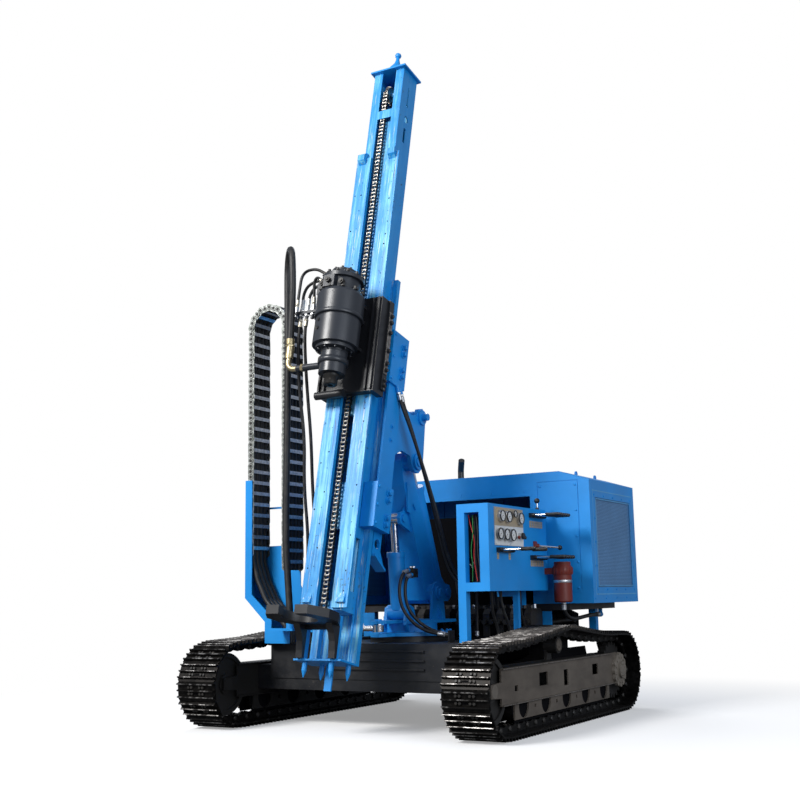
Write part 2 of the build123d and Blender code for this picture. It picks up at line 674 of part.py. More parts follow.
# ---------------------------------------------------------------- boom
def boom():
    """Boxed column from the foot pin to the mast pin, front ears and rear lugs for the cylinders."""
    y0, z0 = BOOM_FOOT
    y1, z1 = MAST_PIN
    side = [
        (y0 - 120, z0 + 130), (y0 - 62, z0 - 52), (y0 - 20, z0 - 78), (y0 + 40, z0 - 72), (y0 + 84,
            z0 - 10),
        (y0 + 60, z0 + 230), (y1 + 98, z1 - 70), (y1 + 66, z1 + 40), (y1 + 20, z1 + 78), (y1 - 40, z1 + 68),
        (y1 - 80, z1 + 10), (y1 - 40, z1 - 180),
    ]
    body = plate(side, "x", -BOOM_HALF, 2 * BOOM_HALF)
    half = BOOM_EAR_X - EAR_THICK / 2 - RUN
    body += rod_x(-half, half, y0, z0, 68)
    half = CHEEK_X - CHEEK_THICK / 2 - RUN
    body += rod_x(-half, half, y1, z1, 66)
    ey, ez = LIFT_EYE
    for s in (-1, 1):
        ear = [(ey + 150, ez - 110), (ey + 130, ez + 190), (ey + 20, ez + 58), (ey - 40, ez + 40),
            (ey - 56, ez)]
        ear += [(ey - 40, ez - 42), (ey, ez - 58)]
        body += plate(ear, "x", s * LIFT_LUG_X - EAR_THICK / 2, EAR_THICK)
        body += rod_x(s * (LIFT_LUG_X + 11), s * (LIFT_LUG_X + 26), ey, ez, PIN_RADIUS)
    ty, tz = TILT_FOOT
    for s in (-1, 1):
        lug = [(y0 + 20, z0 - 60), (ty + 10, tz - 68), (ty + 58, tz - 36), (ty + 68, tz + 10),
            (ty + 36, tz + 58)]
        lug += [(ty - 30, tz + 66), (y0 + 40, z0 + 240)]
        body += plate(lug, "x", s * TILT_LUG_X - EAR_THICK / 2, EAR_THICK)
        body += rod_x(s * (TILT_LUG_X + 11), s * (TILT_LUG_X + 26), ty, tz, PIN_RADIUS)
    stay = [(y1 - 20, z1 - 150), (y1 + 95, z1 - 180), (y1 + 130, z1 - 330), (y1 + 105, z1 - 350),
        (y1 + 60, z1 - 300)]
    stay += [(y1 + 30, z1 - 380), (y1 - 10, z1 - 370)]
    for s in (-1, 1):
        body += plate(stay, "x", s * (BOOM_HALF + 7) - 8, 16)
    return body


# ---------------------------------------------------------------- mast carrier
def carrier():
    """Frame behind the mast: back plate, side plates, clamp blocks, pin cheeks and lower gussets."""
    pin_y, pin_z = mast_local(MAST_PIN)
    eye_y, eye_z = mast_local(TILT_EYE)
    low, high = CLAMP_ROWS[0][0], CLAMP_ROWS[1][1]
    back = CARRIER_BACK
    groove = TOP_BOX_WIDTH / 2 + GAP
    flange_front = MAST_DEPTH - GUIDE_DEPTH
    body = block(-CLAMP_OUT + 20, CLAMP_OUT - 20, back - 26, back, low, high)
    body -= block(-110, 110, back - 40, back + 10, pin_z + 430, high - 60)
    for s in (-1, 1):
        body += block(s * (CLAMP_OUT - 38), s * (CLAMP_OUT - 20), 150, back, low, high)
        for row_low, row_high in CLAMP_ROWS:
            body += block(s * (MAST_WIDTH / 2 + RUN), s * CLAMP_OUT, CLAMP_FRONT, back, row_low, row_high)
            body += block(s * groove, s * CLAMP_OUT, CLAMP_FRONT, flange_front - RUN, row_low, row_high)
            body += block(s * groove, s * CLAMP_OUT, MAST_DEPTH + RUN, back, row_low, row_high)
        cheek = [
            (back - 5, pin_z - 150), (back + 60, pin_z - 55), (back + 150, pin_z + 10), (pin_y - 110,
                pin_z + 10),
            (pin_y - 70, pin_z - 50), (pin_y - 20, pin_z - 84), (pin_y + 40, pin_z - 78), (pin_y + 80,
                pin_z - 30),
            (pin_y + 88, pin_z + 60), (eye_y + 66, eye_z - 30), (eye_y + 56, eye_z + 40), (eye_y + 6,
                eye_z + 74),
            (eye_y - 50, eye_z + 52), (eye_y - 70, eye_z - 10), (eye_y - 150, eye_z - 30), (back - 5,
                eye_z + 30),
        ]
        body += plate(cheek, "x", s * CHEEK_X - CHEEK_THICK / 2, CHEEK_THICK)
        body += rod_x(s * (CHEEK_X + 14), s * (CHEEK_X + 34), pin_y, pin_z, 62)
        body += rod_x(s * (CHEEK_X + 33), s * (CHEEK_X + 44), pin_y, pin_z, 40)
        body += rod_x(s * TILT_BOSS_X, s * (CHEEK_X + 30), eye_y, eye_z, 56)
        body += rod_x(s * (CHEEK_X + 29), s * (CHEEK_X + 74), eye_y, eye_z, 27)
        gusset = [(back - 30, low + 1), (back + 10, low + 1), (back + 10, low - 120),
            (back + 70, low - 210)]
        gusset += [(back + 60, low - 235), (MAST_DEPTH + 12, low - 160), (MAST_DEPTH + 12, low + 1)]
        wing = plate(gusset, "x", s * CHEEK_X - 12, 24)
        wing -= rod_x(s * 120, s * 240, back - 40, low - 80, 34)
        body += wing
        strip = [(MAST_DEPTH + 12, low - 160), (back + 60, low - 235), (back + 60, low - 251),
            (MAST_DEPTH + 12, low - 176)]
        body += plate(strip, "x", s * CHEEK_X - 40, 80)
    body += block(-CHEEK_X, CHEEK_X, MAST_DEPTH + 12, MAST_DEPTH + 32, low - 120, low - 20)
    body = mast_place(body)
    for route in CARRIER_ROUTES:
        body += fitting(route[0], route[1], HOSE_RADIUS + 4, 48)
    return body


# ---------------------------------------------------------------- mast
def mast_box():
    """Folded mast box with slotted front, rear guide flanges, web with windows and side holes."""
    half = TOP_BOX_WIDTH / 2
    wall = MAST_WALL
    slot = MAST_WIDTH / 2 - RAIL_WIDTH
    top = MAST_LENGTH - 14
    web = RAIL_THICK + CHAIN_THICK + 20
    body = block(-half, half, RAIL_THICK, MAST_DEPTH, 12, top)
    body -= block(-half + wall, half - wall, RAIL_THICK + wall, MAST_DEPTH - wall, 0, top + 5)
    body += block(-MAST_WIDTH / 2, MAST_WIDTH / 2, MAST_DEPTH - GUIDE_DEPTH, MAST_DEPTH, 12, GUIDE_HIGH)
    body -= block(-half + wall, half - wall, RAIL_THICK + wall, MAST_DEPTH - wall, 0, top + 5)
    body -= block(-slot, slot, RAIL_THICK - 5, RAIL_THICK + wall + 5, RAIL_LOW, top + 5)
    body += block(-half + wall - 1, half - wall + 1, web, web + 8, RAIL_LOW, MAST_LENGTH - 454)
    windows = [(409.0, 907.0), (1241.0, 1740.0)]
    for low, high in windows:
        body -= block(-slot + 8, slot - 8, web - 5, web + 15, low, high)
    body += block(-slot - 2, slot + 2, RAIL_THICK, RAIL_THICK + 7, MAST_LENGTH - 454, MAST_LENGTH - 379)
    body -= block(-half - 5, half + 5, RAIL_THICK - 5, MAST_DEPTH - GUIDE_DEPTH - 10, 12, RAIL_LOW - 12)
    body += block(-half, half, RAIL_THICK, MAST_DEPTH - 5, RAIL_LOW - 12, RAIL_LOW)
    x0 = half - 30
    body -= rod_x(x0, half + 5, 128, MAST_LENGTH - 438, 30)
    body -= rod_x(x0, half + 5, 120, MAST_LENGTH - 312, 15)
    body -= block(x0, half + 5, 113, 127, MAST_LENGTH - 312, MAST_LENGTH - 144)
    body -= block(x0, half + 5, 110, 138, MAST_LENGTH - 650, MAST_LENGTH - 520)
    body -= block(x0, half + 5, 95, 145, 480, 850)
    return mast_place(body)


def front_rails():
    """Two flat rails with wedge stops at both ends."""
    half = MAST_WIDTH / 2
    body = None
    for s in (-1, 1):
        mid = s * (half - RAIL_WIDTH / 2 + 10)
        bar = block(s * half, s * (half - RAIL_WIDTH), 0, RAIL_THICK, RAIL_LOW, RAIL_HIGH)
        low_stop = [(1, RAIL_LOW + 30), (-20, RAIL_LOW + 34), (1, RAIL_LOW + 105)]
        high_stop = [(1, RAIL_HIGH - 60), (-34, RAIL_HIGH - 30), (-34, RAIL_HIGH + 20), (1, RAIL_HIGH + 45)]
        high_stop += [(RAIL_THICK, RAIL_HIGH + 45), (RAIL_THICK, RAIL_HIGH - 60)]
        bar += plate(low_stop, "x", mid - 32, 64)
        bar += plate(high_stop, "x", mid - 30, 60)
        body = bar if body is None else body + bar
    return mast_place(body)


def feed_chain():
    y0 = RAIL_THICK + 8
    body = block(-CHAIN_WIDTH / 2, CHAIN_WIDTH / 2, y0, y0 + CHAIN_THICK, RAIL_LOW + 1, MAST_LENGTH - 160)
    return mast_place(body)


def mast_top():
    """Top plate with the turned finial."""
    z = MAST_LENGTH - 14
    y = MAST_DEPTH / 2
    body = block(-TOP_BOX_WIDTH / 2 - 24, TOP_BOX_WIDTH / 2 + 24, -12, MAST_DEPTH + 24, z, MAST_LENGTH)
    h = MAST_LENGTH
    rows = [
        (58, h - 2), (58, h + 12), (50, h + 20), (60, h + 30), (60, h + 42), (50, h + 52), (58, h + 62),
        (57, h + 76), (42, h + 96), (24, h + 126), (15, h + 160), (14, h + 182), (22, h + 190), (26,
            h + 203),
        (22, h + 216), (12, h + 225),
    ]
    body += spun(rows, 0, y)
    return mast_place(body)


def mast_foot():
    """Foot plate, front angle, rear web, ground spikes and the flat stop bar."""
    half = MAST_WIDTH / 2
    body = block(-half, half, 0, MAST_DEPTH, 0, 12)
    body += block(half - 70, half - 58, 0, 60, 11, 300)
    body += block(half - 160, half - 58, 0, 12, 240, 300)
    body += block(-half + 58, -half + 70, 0, 60, 11, 300)
    spikes = [
        # across, back
        (-118.0, 40.0), (92.0, 40.0), (-60.0, 160.0), (150.0, 160.0),
    ]
    for x, y in spikes:
        body += rod_z(x, y, -60, 1, 17)
        body += Location((x, y, -82)) * Cone(3, 17, 44)
    body += block(-38, 18, 176, 188, -170, 1)
    return mast_place(body)


def pile_guide():
    """Guide fork for the pile under the power head, on two curved legs."""
    outline = [
        (-150, 0), (-236, -130), (-250, -262), (-160, -400), (-62, -400), (-62, -240), (62, -240), (62,
            -400),
        (160, -400), (236, -262), (222, -130), (150, 0),
    ]
    body = plate(outline, "z", 226, 58)
    body -= rod_z(0, HEAD_AXIS, 200, 300, GUIDE_BORE)
    for s in (-1, 1):
        leg = [(0, 13), (-26, 13), (-30, 60), (-40, 120), (-60, 172), (-88, 204), (-98, 227), (0, 227)]
        body += plate(leg, "x", min(s * 104, s * 154), 50)
    body += block(-150, 150, -24, 0, 200, 284)
    return mast_place(body)


# ---------------------------------------------------------------- carriage, power head and spindle
def carriage():
    """Sledge on the front rails with ribs, side plates, wear shoes behind the rails and a socket tube."""
    half = CARRIAGE_HALF
    rail = MAST_WIDTH / 2
    low, high = CARRIAGE_LOW, CARRIAGE_HIGH
    body = block(-half, half, -62, -RUN, low, high)
    for s in (-1, 1):
        body += block(s * (rail + RUN), s * half, -63, 78, low, high)
        body += block(s * (half - 2), s * (half + 14), 22, 78, low + 40, high)
        for x in (half - 18, half - 62):
            body += block(s * (x - 7), s * (x + 7), -82, -61, low + 10, high - 10)
        for z in (low + 20, (low + high) / 2, high - 140):
            body += block(s * (TOP_BOX_WIDTH / 2 + GAP), s * half, RAIL_THICK + RUN, 70, z, z + 120)
    for z in (2165, 2380, 2500):
        body += block(-105, 105, HEAD_AXIS + 40, -61, z, z + 24)
    socket = rod_x(-214, 20, -100, 1846, 29)
    socket += block(-120, 10, -100, -30, 1840, 1880)
    socket -= rod_x(-220, -120, -100, 1846, 21)
    body += socket
    body -= rod_z(0, HEAD_AXIS, 1900, 2700, 173)
    return mast_place(body)


def power_head():
    """Turned housing with swivel, bolted flange, drums, motor block and cap, and its hose manifold and ports."""
    rows = [
        (95, SPINDLE_HIGH), (95, 2086), (98, 2090), (98, 2104), (138, 2108), (138, 2132), (164,
            2136), (164, 2330),
        (157, 2334), (157, 2346), (172, 2350), (172, 2520), (160, 2545), (128, 2548), (128, 2640), (152,
            2644),
        (152, 2672), (110, 2690), (92, 2716), (92, 2730),
    ]
    body = spun(rows, 0, HEAD_AXIS)
    bolts = 10
    for i in range(bolts):
        a = 2 * math.pi * (i + 0.5) / bolts
        x, y = 120 * math.cos(a), HEAD_AXIS + 120 * math.sin(a)
        body += rod_z(x, y, 2096, 2109, 9)
        body += rod_z(x * 1.12, HEAD_AXIS + (y - HEAD_AXIS) * 1.12, 2671, 2684, 9)
    body += block(-60, 30, HEAD_AXIS - 160, HEAD_AXIS - 100, 2552, 2640)
    body += block(-188, -120, HEAD_AXIS - 50, HEAD_AXIS + 40, 2560, 2650)
    body += block(-400, -150, HEAD_AXIS - 20, HEAD_AXIS + 20, 2440, 2462)
    for x in MANIFOLD_X:
        body += rod_z(x, HEAD_AXIS, MANIFOLD_LOW, MANIFOLD_HIGH, 13)
    for y, z in HEAD_PORTS:
        body += rod_x(HEAD_PORT_X, -60, y, z, 13)
    body += rod_x(-300, -60, ELBOW_Y, ELBOW_LOW, 24)
    bend = FilletPolyline((-299, ELBOW_Y, ELBOW_LOW), (ELBOW_X, ELBOW_Y, ELBOW_LOW),
        (ELBOW_X, ELBOW_Y, ELBOW_TOP), radius=60)
    body += sweep(Plane(origin=(-299, ELBOW_Y, ELBOW_LOW), z_dir=(-1, 0, 0)) * Circle(19), path=bend)
    body += rod_z(ELBOW_X, ELBOW_Y, ELBOW_TOP - 90, ELBOW_TOP, SHEATH_RADIUS + 3)
    return mast_place(body)


def spindle():
    rows = [(38, SPINDLE_LOW), (45, SPINDLE_LOW + 8), (45, SPINDLE_HIGH - RUN)]
    body = spun(rows, 0, HEAD_AXIS)
    body -= rod_z(0, HEAD_AXIS, SPINDLE_LOW - 5, SPINDLE_LOW + SOCKET_DEPTH, SOCKET_RADIUS)
    return mast_place(body)


# ---------------------------------------------------------------- engine house
def hood_outline(inset):
    h = HOOD_HALF - inset
    a = HOOD_HALF - CHAMFER_ACROSS
    drop = inset * 1.05
    return [(-h, HOOD_LOW), (h, HOOD_LOW), (h, EAVE - drop), (a, HOOD_HIGH - drop),
        (-a, HOOD_HIGH - drop), (-h, EAVE - drop)]


def hood_roof():
    """Folded roof sheet with the chamfered ends and two lifting eyes."""
    h, a = HOOD_HALF, HOOD_HALF - CHAMFER_ACROSS
    profile = [(-h, EAVE), (-h, EAVE - SKIN), (-a, HOOD_HIGH - SKIN), (a, HOOD_HIGH - SKIN),
        (h, EAVE - SKIN), (h, EAVE)]
    profile += [(a, HOOD_HIGH), (-a, HOOD_HIGH)]
    body = plate(profile, "y", HOOD_FRONT, HOOD_LENGTH)
    for x in (-a + 40, a - 40):
        for y in (HOOD_FRONT + 0.46 * HOOD_LENGTH, HOOD_REAR - 120):
            eye = rod_x(x - 5, x + 5, y, HOOD_HIGH + 16, 24) - rod_x(x - 9, x + 9, y, HOOD_HIGH + 18, 12)
            body += eye - block(x - 20, x + 20, y - 40, y + 40, HOOD_HIGH - 60, HOOD_HIGH - 1)
    return body


def hood_side(side):
    """Side sheet with the cooling opening and the bolted frame round it."""
    x0, x1 = side * HOOD_HALF, side * (HOOD_HALF - SKIN)
    y0, y1 = HOOD_FRONT + GRILLE_Y[0], HOOD_FRONT + GRILLE_Y[1]
    z0, z1 = GRILLE_Z
    low_corner = EAVE - SKIN
    body = block(x0, x1, HOOD_FRONT, HOOD_REAR, HOOD_LOW, low_corner)
    body -= block(side * (HOOD_HALF + 5), side * (HOOD_HALF - 15), y0, y1, z0, z1)
    f = GRILLE_FRAME
    frame = block(side * (HOOD_HALF - 8), side * HOOD_HALF, y0 - f / 2, y1 + f / 2, z0 - f / 2, z1 + f / 2)
    frame -= block(side * (HOOD_HALF + 5), side * (HOOD_HALF - 15), y0 + f / 2, y1 - f / 2, z0 + f / 2,
        z1 - f / 2)
    return body + frame


def grille(side):
    """Fine mesh sheet behind the side frame."""
    y0, y1 = HOOD_FRONT + GRILLE_Y[0], HOOD_FRONT + GRILLE_Y[1]
    z0, z1 = GRILLE_Z
    body = block(side * (HOOD_HALF - 8), side * (HOOD_HALF - 10), y0 - 16, y1 + 16, z0 - 16, z1 + 16)
    return body


def hood_front():
    """Front sheet with the long opening under its top lip and the door opening."""
    y0, y1 = HOOD_FRONT, HOOD_FRONT + SKIN
    body = plate(hood_outline(SKIN), "y", y0, SKIN)
    body -= block(OPENING_X[0], OPENING_X[1], y0 - 5, y1 + 5, HOOD_LOW - 5, OPENING_HIGH)
    body -= block(COVER_X[0] - COVER_GAP, COVER_X[1] + COVER_GAP, y0 - 5, y1 + 5,
        COVER_Z[0] - COVER_GAP, COVER_Z[1] + COVER_GAP)
    lip = block(COVER_X[0] - 15, COVER_X[1] + 15, y1, y1 + 3, COVER_Z[0] - 15, COVER_Z[1] + 15)
    lip -= block(COVER_X[0] + 12, COVER_X[1] - 12, y1 - 5, y1 + 5, COVER_Z[0] + 12, COVER_Z[1] - 12)
    body += lip
    body += block(OPENING_X[0] - 30, OPENING_X[1] + 30, y1 - 1, y1 + 30, OPENING_HIGH + 1, OPENING_HIGH + 5)
    return body


def hood_rear():
    body = plate(hood_outline(SKIN), "y", HOOD_REAR - SKIN, SKIN)
    for x in (-600, 0, 600):
        body += block(x - 15, x + 15, HOOD_REAR - SKIN - 16, HOOD_REAR - SKIN + 1, HOOD_LOW + 40,
            HOOD_HIGH - 60)
    return body


def hood_floor():
    h = HOOD_HALF - SKIN
    return block(-h, h, HOOD_FRONT + SKIN, HOOD_REAR - SKIN, HOOD_LOW, HOOD_LOW + 6)


def access_panel():
    body = block(COVER_X[0], COVER_X[1], HOOD_FRONT, HOOD_FRONT + SKIN - RUN, COVER_Z[0], COVER_Z[1])
    return body


def engine():
    return block(-520, 480, 2010, 2720, HOOD_LOW + 6, HOOD_LOW + 700)


def exhaust():
    """Exhaust pipe with its bent, slant-cut end."""
    x, y, z = -100.0, 2300.0, HOOD_HIGH
    line = FilletPolyline((x, y, z), (x, y, z + 110), (x + 40, y - 60, z + 190), radius=50)
    body = sweep(Plane(origin=(x, y, z), z_dir=(0, 0, 1)) * Circle(26), path=line)
    body += rod_z(x, y, z, z + 8, 44)
    return body


# ---------------------------------------------------------------- console
def console_frame():
    """Folded posts and rims of the operator's console, with its legs down to the deck."""
    x0, x1 = CONSOLE_X
    y0, y1 = CONSOLE_Y
    z0, z1 = CONSOLE_Z
    p = POST
    body = block(x0, x1, y0, y0 + p, z0, z1)
    body -= block(x0 + p, x1 - p * 1.2, y0 - 5, y0 + p + 5, z0 + p, z1 - p)
    body += block(x0, x0 + p, y1 - p, y1, z0, z1)
    body += block(x0, x0 + p, y0, y1, z0, z0 + p)
    body += block(x0, x0 + p, y0, y1, z1 - p, z1)
    body += block(x0, x0 + p, y0, y0 + p, DECK_HIGH, z0 + 1)
    body += block(x1 - 120, x1 - 80, y1 - 380, y1 - 340, DECK_HIGH, z0)
    body += block(x0, x0 + p, y1 - 380, y1 - 340, z0 - 40, z0 + 1)
    body += block(x0, x0 + p, y1 - p, y1, DECK_HIGH, z0 + 1)
    body += block(x0, x1 - 80, y1 - 380, y1 - 340, z0 - 40, z0)
    for route in CARRIER_ROUTES:
        body += fitting(route[-1], route[-2], HOSE_RADIUS + 4, 34)
    return body


def console_panel():
    """Left face, top and rear sheets of the console."""
    x0, x1 = CONSOLE_X
    y0, y1 = CONSOLE_Y
    z0, z1 = CONSOLE_Z
    y = y0 + POST
    body = block(x1 - 4, x1, y, y1, z0, z1)
    body += block(x0 + POST, x1, y, y1, z1 - 4, z1)
    body += block(x0 + POST, x1, y1 - 4, y1, z0, z1)
    body += block(x0 + POST, x1, y, y1, z0, z0 + 4)
    return body


def gauges():
    """Two gauge boards with round gauges and a tap on the console's face."""
    x = CONSOLE_X[1]
    y0, z1 = CONSOLE_Y[0], CONSOLE_Z[1]
    body = block(x, x + 4, y0 + 90, y0 + 570, z1 - 288, z1 - 20)
    dials = [
        # back from the console's front, down from its top, radius
        (172, 82, 40), (282, 84, 40), (486, 88, 42), (162, 208, 40), (306, 212, 42), (494, 214, 22),
    ]
    for back, down, radius in dials:
        body += rod_x(x + 3, x + 32, y0 + back, z1 - down, radius)
    return body


def levers():
    """Three banks of hand levers on the console's face and a ball lever on its top."""
    x = CONSOLE_X[1]
    y0, z1 = CONSOLE_Y[0], CONSOLE_Z[1]
    body = None
    for back, count, pitch, down, reach in LEVER_BANKS:
        y, z = y0 + back, z1 - down
        bank = block(x, x + 26, y - 22, y + (count - 1) * pitch + 22, z - 16, z + 16)
        for i in range(count):
            bank += rod_x(x + 25, x + reach, y + i * pitch, z, 7)
            bank += rod_x(x + reach - 110, x + reach, y + i * pitch, z, 14)
        body = bank if body is None else body + bank
    knob = rod_z(x - 40, y0 + 940, z1, z1 + 60, 7)
    knob += Location((x - 40, y0 + 940, z1 + 72)) * Sphere(21)
    return body + knob


def canister():
    """Hydraulic return filter: bowl, neck and head on its bracket."""
    y = HOOD_FRONT - CANISTER_RADIUS - 60
    x = CONSOLE_X[1] + CANISTER_RADIUS + 60
    rows = [
        (CANISTER_RADIUS - 8, 840), (CANISTER_RADIUS, 850), (CANISTER_RADIUS,
            1040), (CANISTER_RADIUS + 6, 1044),
        (CANISTER_RADIUS + 6, 1100), (60, 1112), (60, 1140),
    ]
    body = spun(rows, x, y)
    body += block(CONSOLE_X[1], x, CONSOLE_Y[1] - 60, CONSOLE_Y[1] - 10, 1050, 1095)
    return body


# ---------------------------------------------------------------- hose tower
def hose_tower():
    """Cranked channel that holds the steel hose chain's fixed strand, with the shelf of the mast's hoses."""
    y0, y1 = TOWER_Y
    foot_out, foot_in = TOWER_FOOT
    path_out = [(foot_out, DECK_HIGH), (foot_out, 735), (TOWER_OUT, 910), (TOWER_OUT, 1790)]
    path_in = [
        (TOWER_OUT + 62, 1790), (TOWER_OUT + 62, 935), (foot_out + 60, 770), (foot_out + 60, 690), (foot_in, 690),
        (foot_in, DECK_HIGH),
    ]
    rim = plate(path_out + path_in, "y", y0, 8)
    outer = [
        (foot_out, DECK_HIGH), (foot_out, 735), (TOWER_OUT, 910), (TOWER_OUT, 1790), (TOWER_OUT + 8, 1790),
        (TOWER_OUT + 8, 914), (foot_out + 8, 739), (foot_out + 8, DECK_HIGH),
    ]
    body = rim + plate(outer, "y", y0, y1 - y0)
    sheet = [
        (TOWER_OUT, 1300), (TOWER_OUT, 910), (foot_out, 735), (foot_out, DECK_HIGH), (foot_in, DECK_HIGH),
        (foot_in, 900),
    ]
    sheet += [(TOWER_IN, 1000), (TOWER_IN, 2150), (TOWER_IN - 40, 2150), (TOWER_IN - 40, 1300)]
    body += plate(sheet, "y", y1 - 6, 6)
    for z in (1290, 1590):
        body += block(TOWER_OUT, TOWER_IN, y1 - 6, y1 + 8, z - 7, z + 7)
    body += block(foot_in - 60, SHELF_END, SHELF_Y[0], SHELF_Y[1], SHELF_HIGH - 14, SHELF_HIGH)
    body += block(foot_in - 60, foot_in, SHELF_Y[0], y0 + 2, SHELF_HIGH - 14, SHELF_HIGH)
    for route, radius in SHELF_HOSES:
        body += fitting(route[-1], route[-2], radius + 4, 56)
    return body


def chain_spot(along):
    """Point of the hose chain's middle line, from the fixed foot over the half turn to the free foot."""
    half = CHAIN_DEEP / 2
    radius = (CHAIN_RIGHT - CHAIN_LEFT) / 2 - half
    rise = CHAIN_CROWN - CHAIN_FOOT[0]
    bend = math.pi * radius
    if along < rise:
        return (CHAIN_LEFT + half, CHAIN_FOOT[0] + along)
    if along < rise + bend:
        a = (along - rise) / radius
        middle = (CHAIN_RIGHT + CHAIN_LEFT) / 2
        return (middle - radius * math.cos(a), CHAIN_CROWN + radius * math.sin(a))
    return (CHAIN_RIGHT - half, CHAIN_CROWN - (along - rise - bend))


def chain_loop():
    """Steel hose chain: two rows of round-ended link plates with bars across every link, inside and out."""
    half = CHAIN_DEEP / 2
    near, far = CHAIN_Y
    total = 2 * CHAIN_CROWN - sum(CHAIN_FOOT) + math.pi * ((CHAIN_RIGHT - CHAIN_LEFT) / 2 - half)
    links = int(total / CHAIN_PITCH)
    step = total / links
    pieces = []
    for i in range(links):
        x0, z0 = chain_spot(i * step)
        x, z = chain_spot((i + 0.5) * step)
        x1, z1 = chain_spot((i + 1) * step)
        length = math.hypot(x1 - x0, z1 - z0)
        slope = math.degrees(math.atan2(z1 - z0, x1 - x0))
        for y in (near, far - CHAIN_PLATE):
            place = Location((x, y + CHAIN_PLATE / 2, z), (0, -slope, 0))
            pieces.append(place * Box(length + 2, CHAIN_PLATE, CHAIN_DEEP - 16))
            pieces.append(rod_y(x, y, y + CHAIN_PLATE, z, half))
        place = Location((x, (near + far) / 2, z), (0, -slope, 0))
        for out in (-1, 1):
            pieces.append(place * Location((0, 0, out * (half - CHAIN_BAR / 2))) * Box(26,
                far - near - 2, CHAIN_BAR))
    return pieces[0] + pieces[1:]


# ---------------------------------------------------------------- hoses
def hose(name, points, radius):
    """Tube along straight runs joined by arcs as large as the runs allow; prints its tightest arc."""
    corners = [Vector(*p) for p in points]
    radii = []
    for a, b, c in zip(corners, corners[1:], corners[2:]):
        turn = math.radians((b - a).get_angle(c - b))
        radii.append(ARC_SHARE * min((b - a).length, (c - b).length) / math.tan(turn / 2))
    line = FilletPolyline(*points, radius=radii)
    tube = sweep(Plane(origin=points[0], z_dir=corners[1] - corners[0]) * Circle(radius), path=line)
    share = tube.volume / (math.pi * radius * radius * line.length)
    print(name, "length", round(line.length), "tightest", round(min(radii)), "volume share",
        round(share, 4))
    return tube


def fitting(tip, before, radius, length):
    """Round fitting in line with a hose's end, a running gap away from its face."""
    axis = (Vector(*tip) - Vector(*before)).normalized()
    middle = Vector(*tip) + axis * (RUN + length / 2)
    return Plane(origin=middle, z_dir=axis).location * Cylinder(radius, length)


def chain_hoses():
    """Four hoses inside the chain, from its free foot over the bend and down into the tower's base."""
    half = CHAIN_DEEP / 2
    radius = (CHAIN_RIGHT - CHAIN_LEFT) / 2 - half
    left, right = CHAIN_LEFT + half, CHAIN_RIGHT - half
    tubes = None
    for i in range(LANES):
        y = (CHAIN_Y[0] + CHAIN_Y[1]) / 2 + (i - (LANES - 1) / 2) * LANE_PITCH
        foot = -700.0 - 12 * i
        tube = rod_z(right, y, CHAIN_FOOT[1] - 20, CHAIN_CROWN, LANE_RADIUS)
        ring = Location((0, 0, 0)) * Torus(radius, LANE_RADIUS)
        arch = Location(((left + right) / 2, y, CHAIN_CROWN), (90, 0, 0)) * ring
        tube += arch - block(left - 60, right + 60, y - 40, y + 40, CHAIN_CROWN - radius - 60, CHAIN_CROWN)
        points = [
            (left, y, CHAIN_CROWN), (left, y, CHAIN_FOOT[0] - 60), (left + 45, y, 1040), (-880, y, 890),
            (-780, y, 790), (foot, y, 700), (foot, y, DECK_HIGH + RUN),
        ]
        line = FilletPolyline(*points, radius=[160, 160, 150, 60, 40])
        tube += sweep(Plane(origin=points[0], z_dir=(0, 0, -1)) * Circle(LANE_RADIUS), path=line)
        tubes = tube if tubes is None else tubes + tube
    return tubes


def head_hoses():
    """Two short hoses from the manifold's top to the ports of the head's cap."""
    tubes = None
    for i, route in enumerate(HEAD_ROUTES):
        tube = hose("head_hose_" + str(i + 1), route, 11)
        tubes = tube if tubes is None else tubes + tube
    return mast_place(tubes)


def console_hoses():
    """Control hoses from under the console down to the deck."""
    tubes = None
    for i, (x, y, sway) in enumerate(CONSOLE_DROPS):
        route = [
            (x, y, CONSOLE_Z[0] - RUN), (x, y + 4, 870), (x - sway, y + 30, 790), (x - sway * 1.5,
                y + 80, 715),
            (x - sway * 1.4, y + 122, 650), (x - sway * 1.4, y + 126, DECK_HIGH + RUN),
        ]
        tube = hose("console_hose_" + str(i + 1), route, 11)
        tubes = tube if tubes is None else tubes + tube
    return tubes


# ---------------------------------------------------------------- export
for label, side in (("left", 1), ("right", -1)):
    export("track_" + label, track(side))
    export("track_frame_" + label, track_frame(side))
    export("idler_" + label, idler(side))
    export("sprocket_" + label, sprocket(side))
    export("hood_side_" + label, hood_side(side))
    export("grille_" + label, grille(side))

lift = (LIFT_FOOT, LIFT_EYE)
tilt = (TILT_FOOT, TILT_EYE)
export("front_axle", front_axle())
export("rear_axle", axle(REAR_BEAM))
export("carbody", carbody())
export("deck", deck())
export("hood_base", hood_base())
export("turret", turret())
export("boom", boom())
export("swing_barrel", swing_barrel())
export("swing_rod", swing_rod())
export("lift_barrel", lift_barrel())
export("lift_rod", rod(*lift, 240, LIFT_ROD_RADIUS, LIFT_LUG_X - EAR_THICK / 2 - RUN, 44))
export("tilt_barrel", barrel(*tilt, TILT_TUBE, 70, TILT_LUG_X - EAR_THICK / 2 - RUN, TILT_ROD_RADIUS))
export("tilt_rod", rod(*tilt, 480, TILT_ROD_RADIUS, TILT_BOSS_X - RUN, 50))
export("carrier", carrier())
export("mast_box", mast_box())
export("front_rails", front_rails())
export("feed_chain", feed_chain())
export("mast_top", mast_top())
export("mast_foot", mast_foot())
export("pile_guide", pile_guide())
export("carriage", carriage())
export("power_head", power_head())
export("spindle", spindle())
export("hood_roof", hood_roof())
export("hood_front", hood_front())
export("hood_rear", hood_rear())
export("hood_floor", hood_floor())
export("access_panel", access_panel())
export("engine", engine())
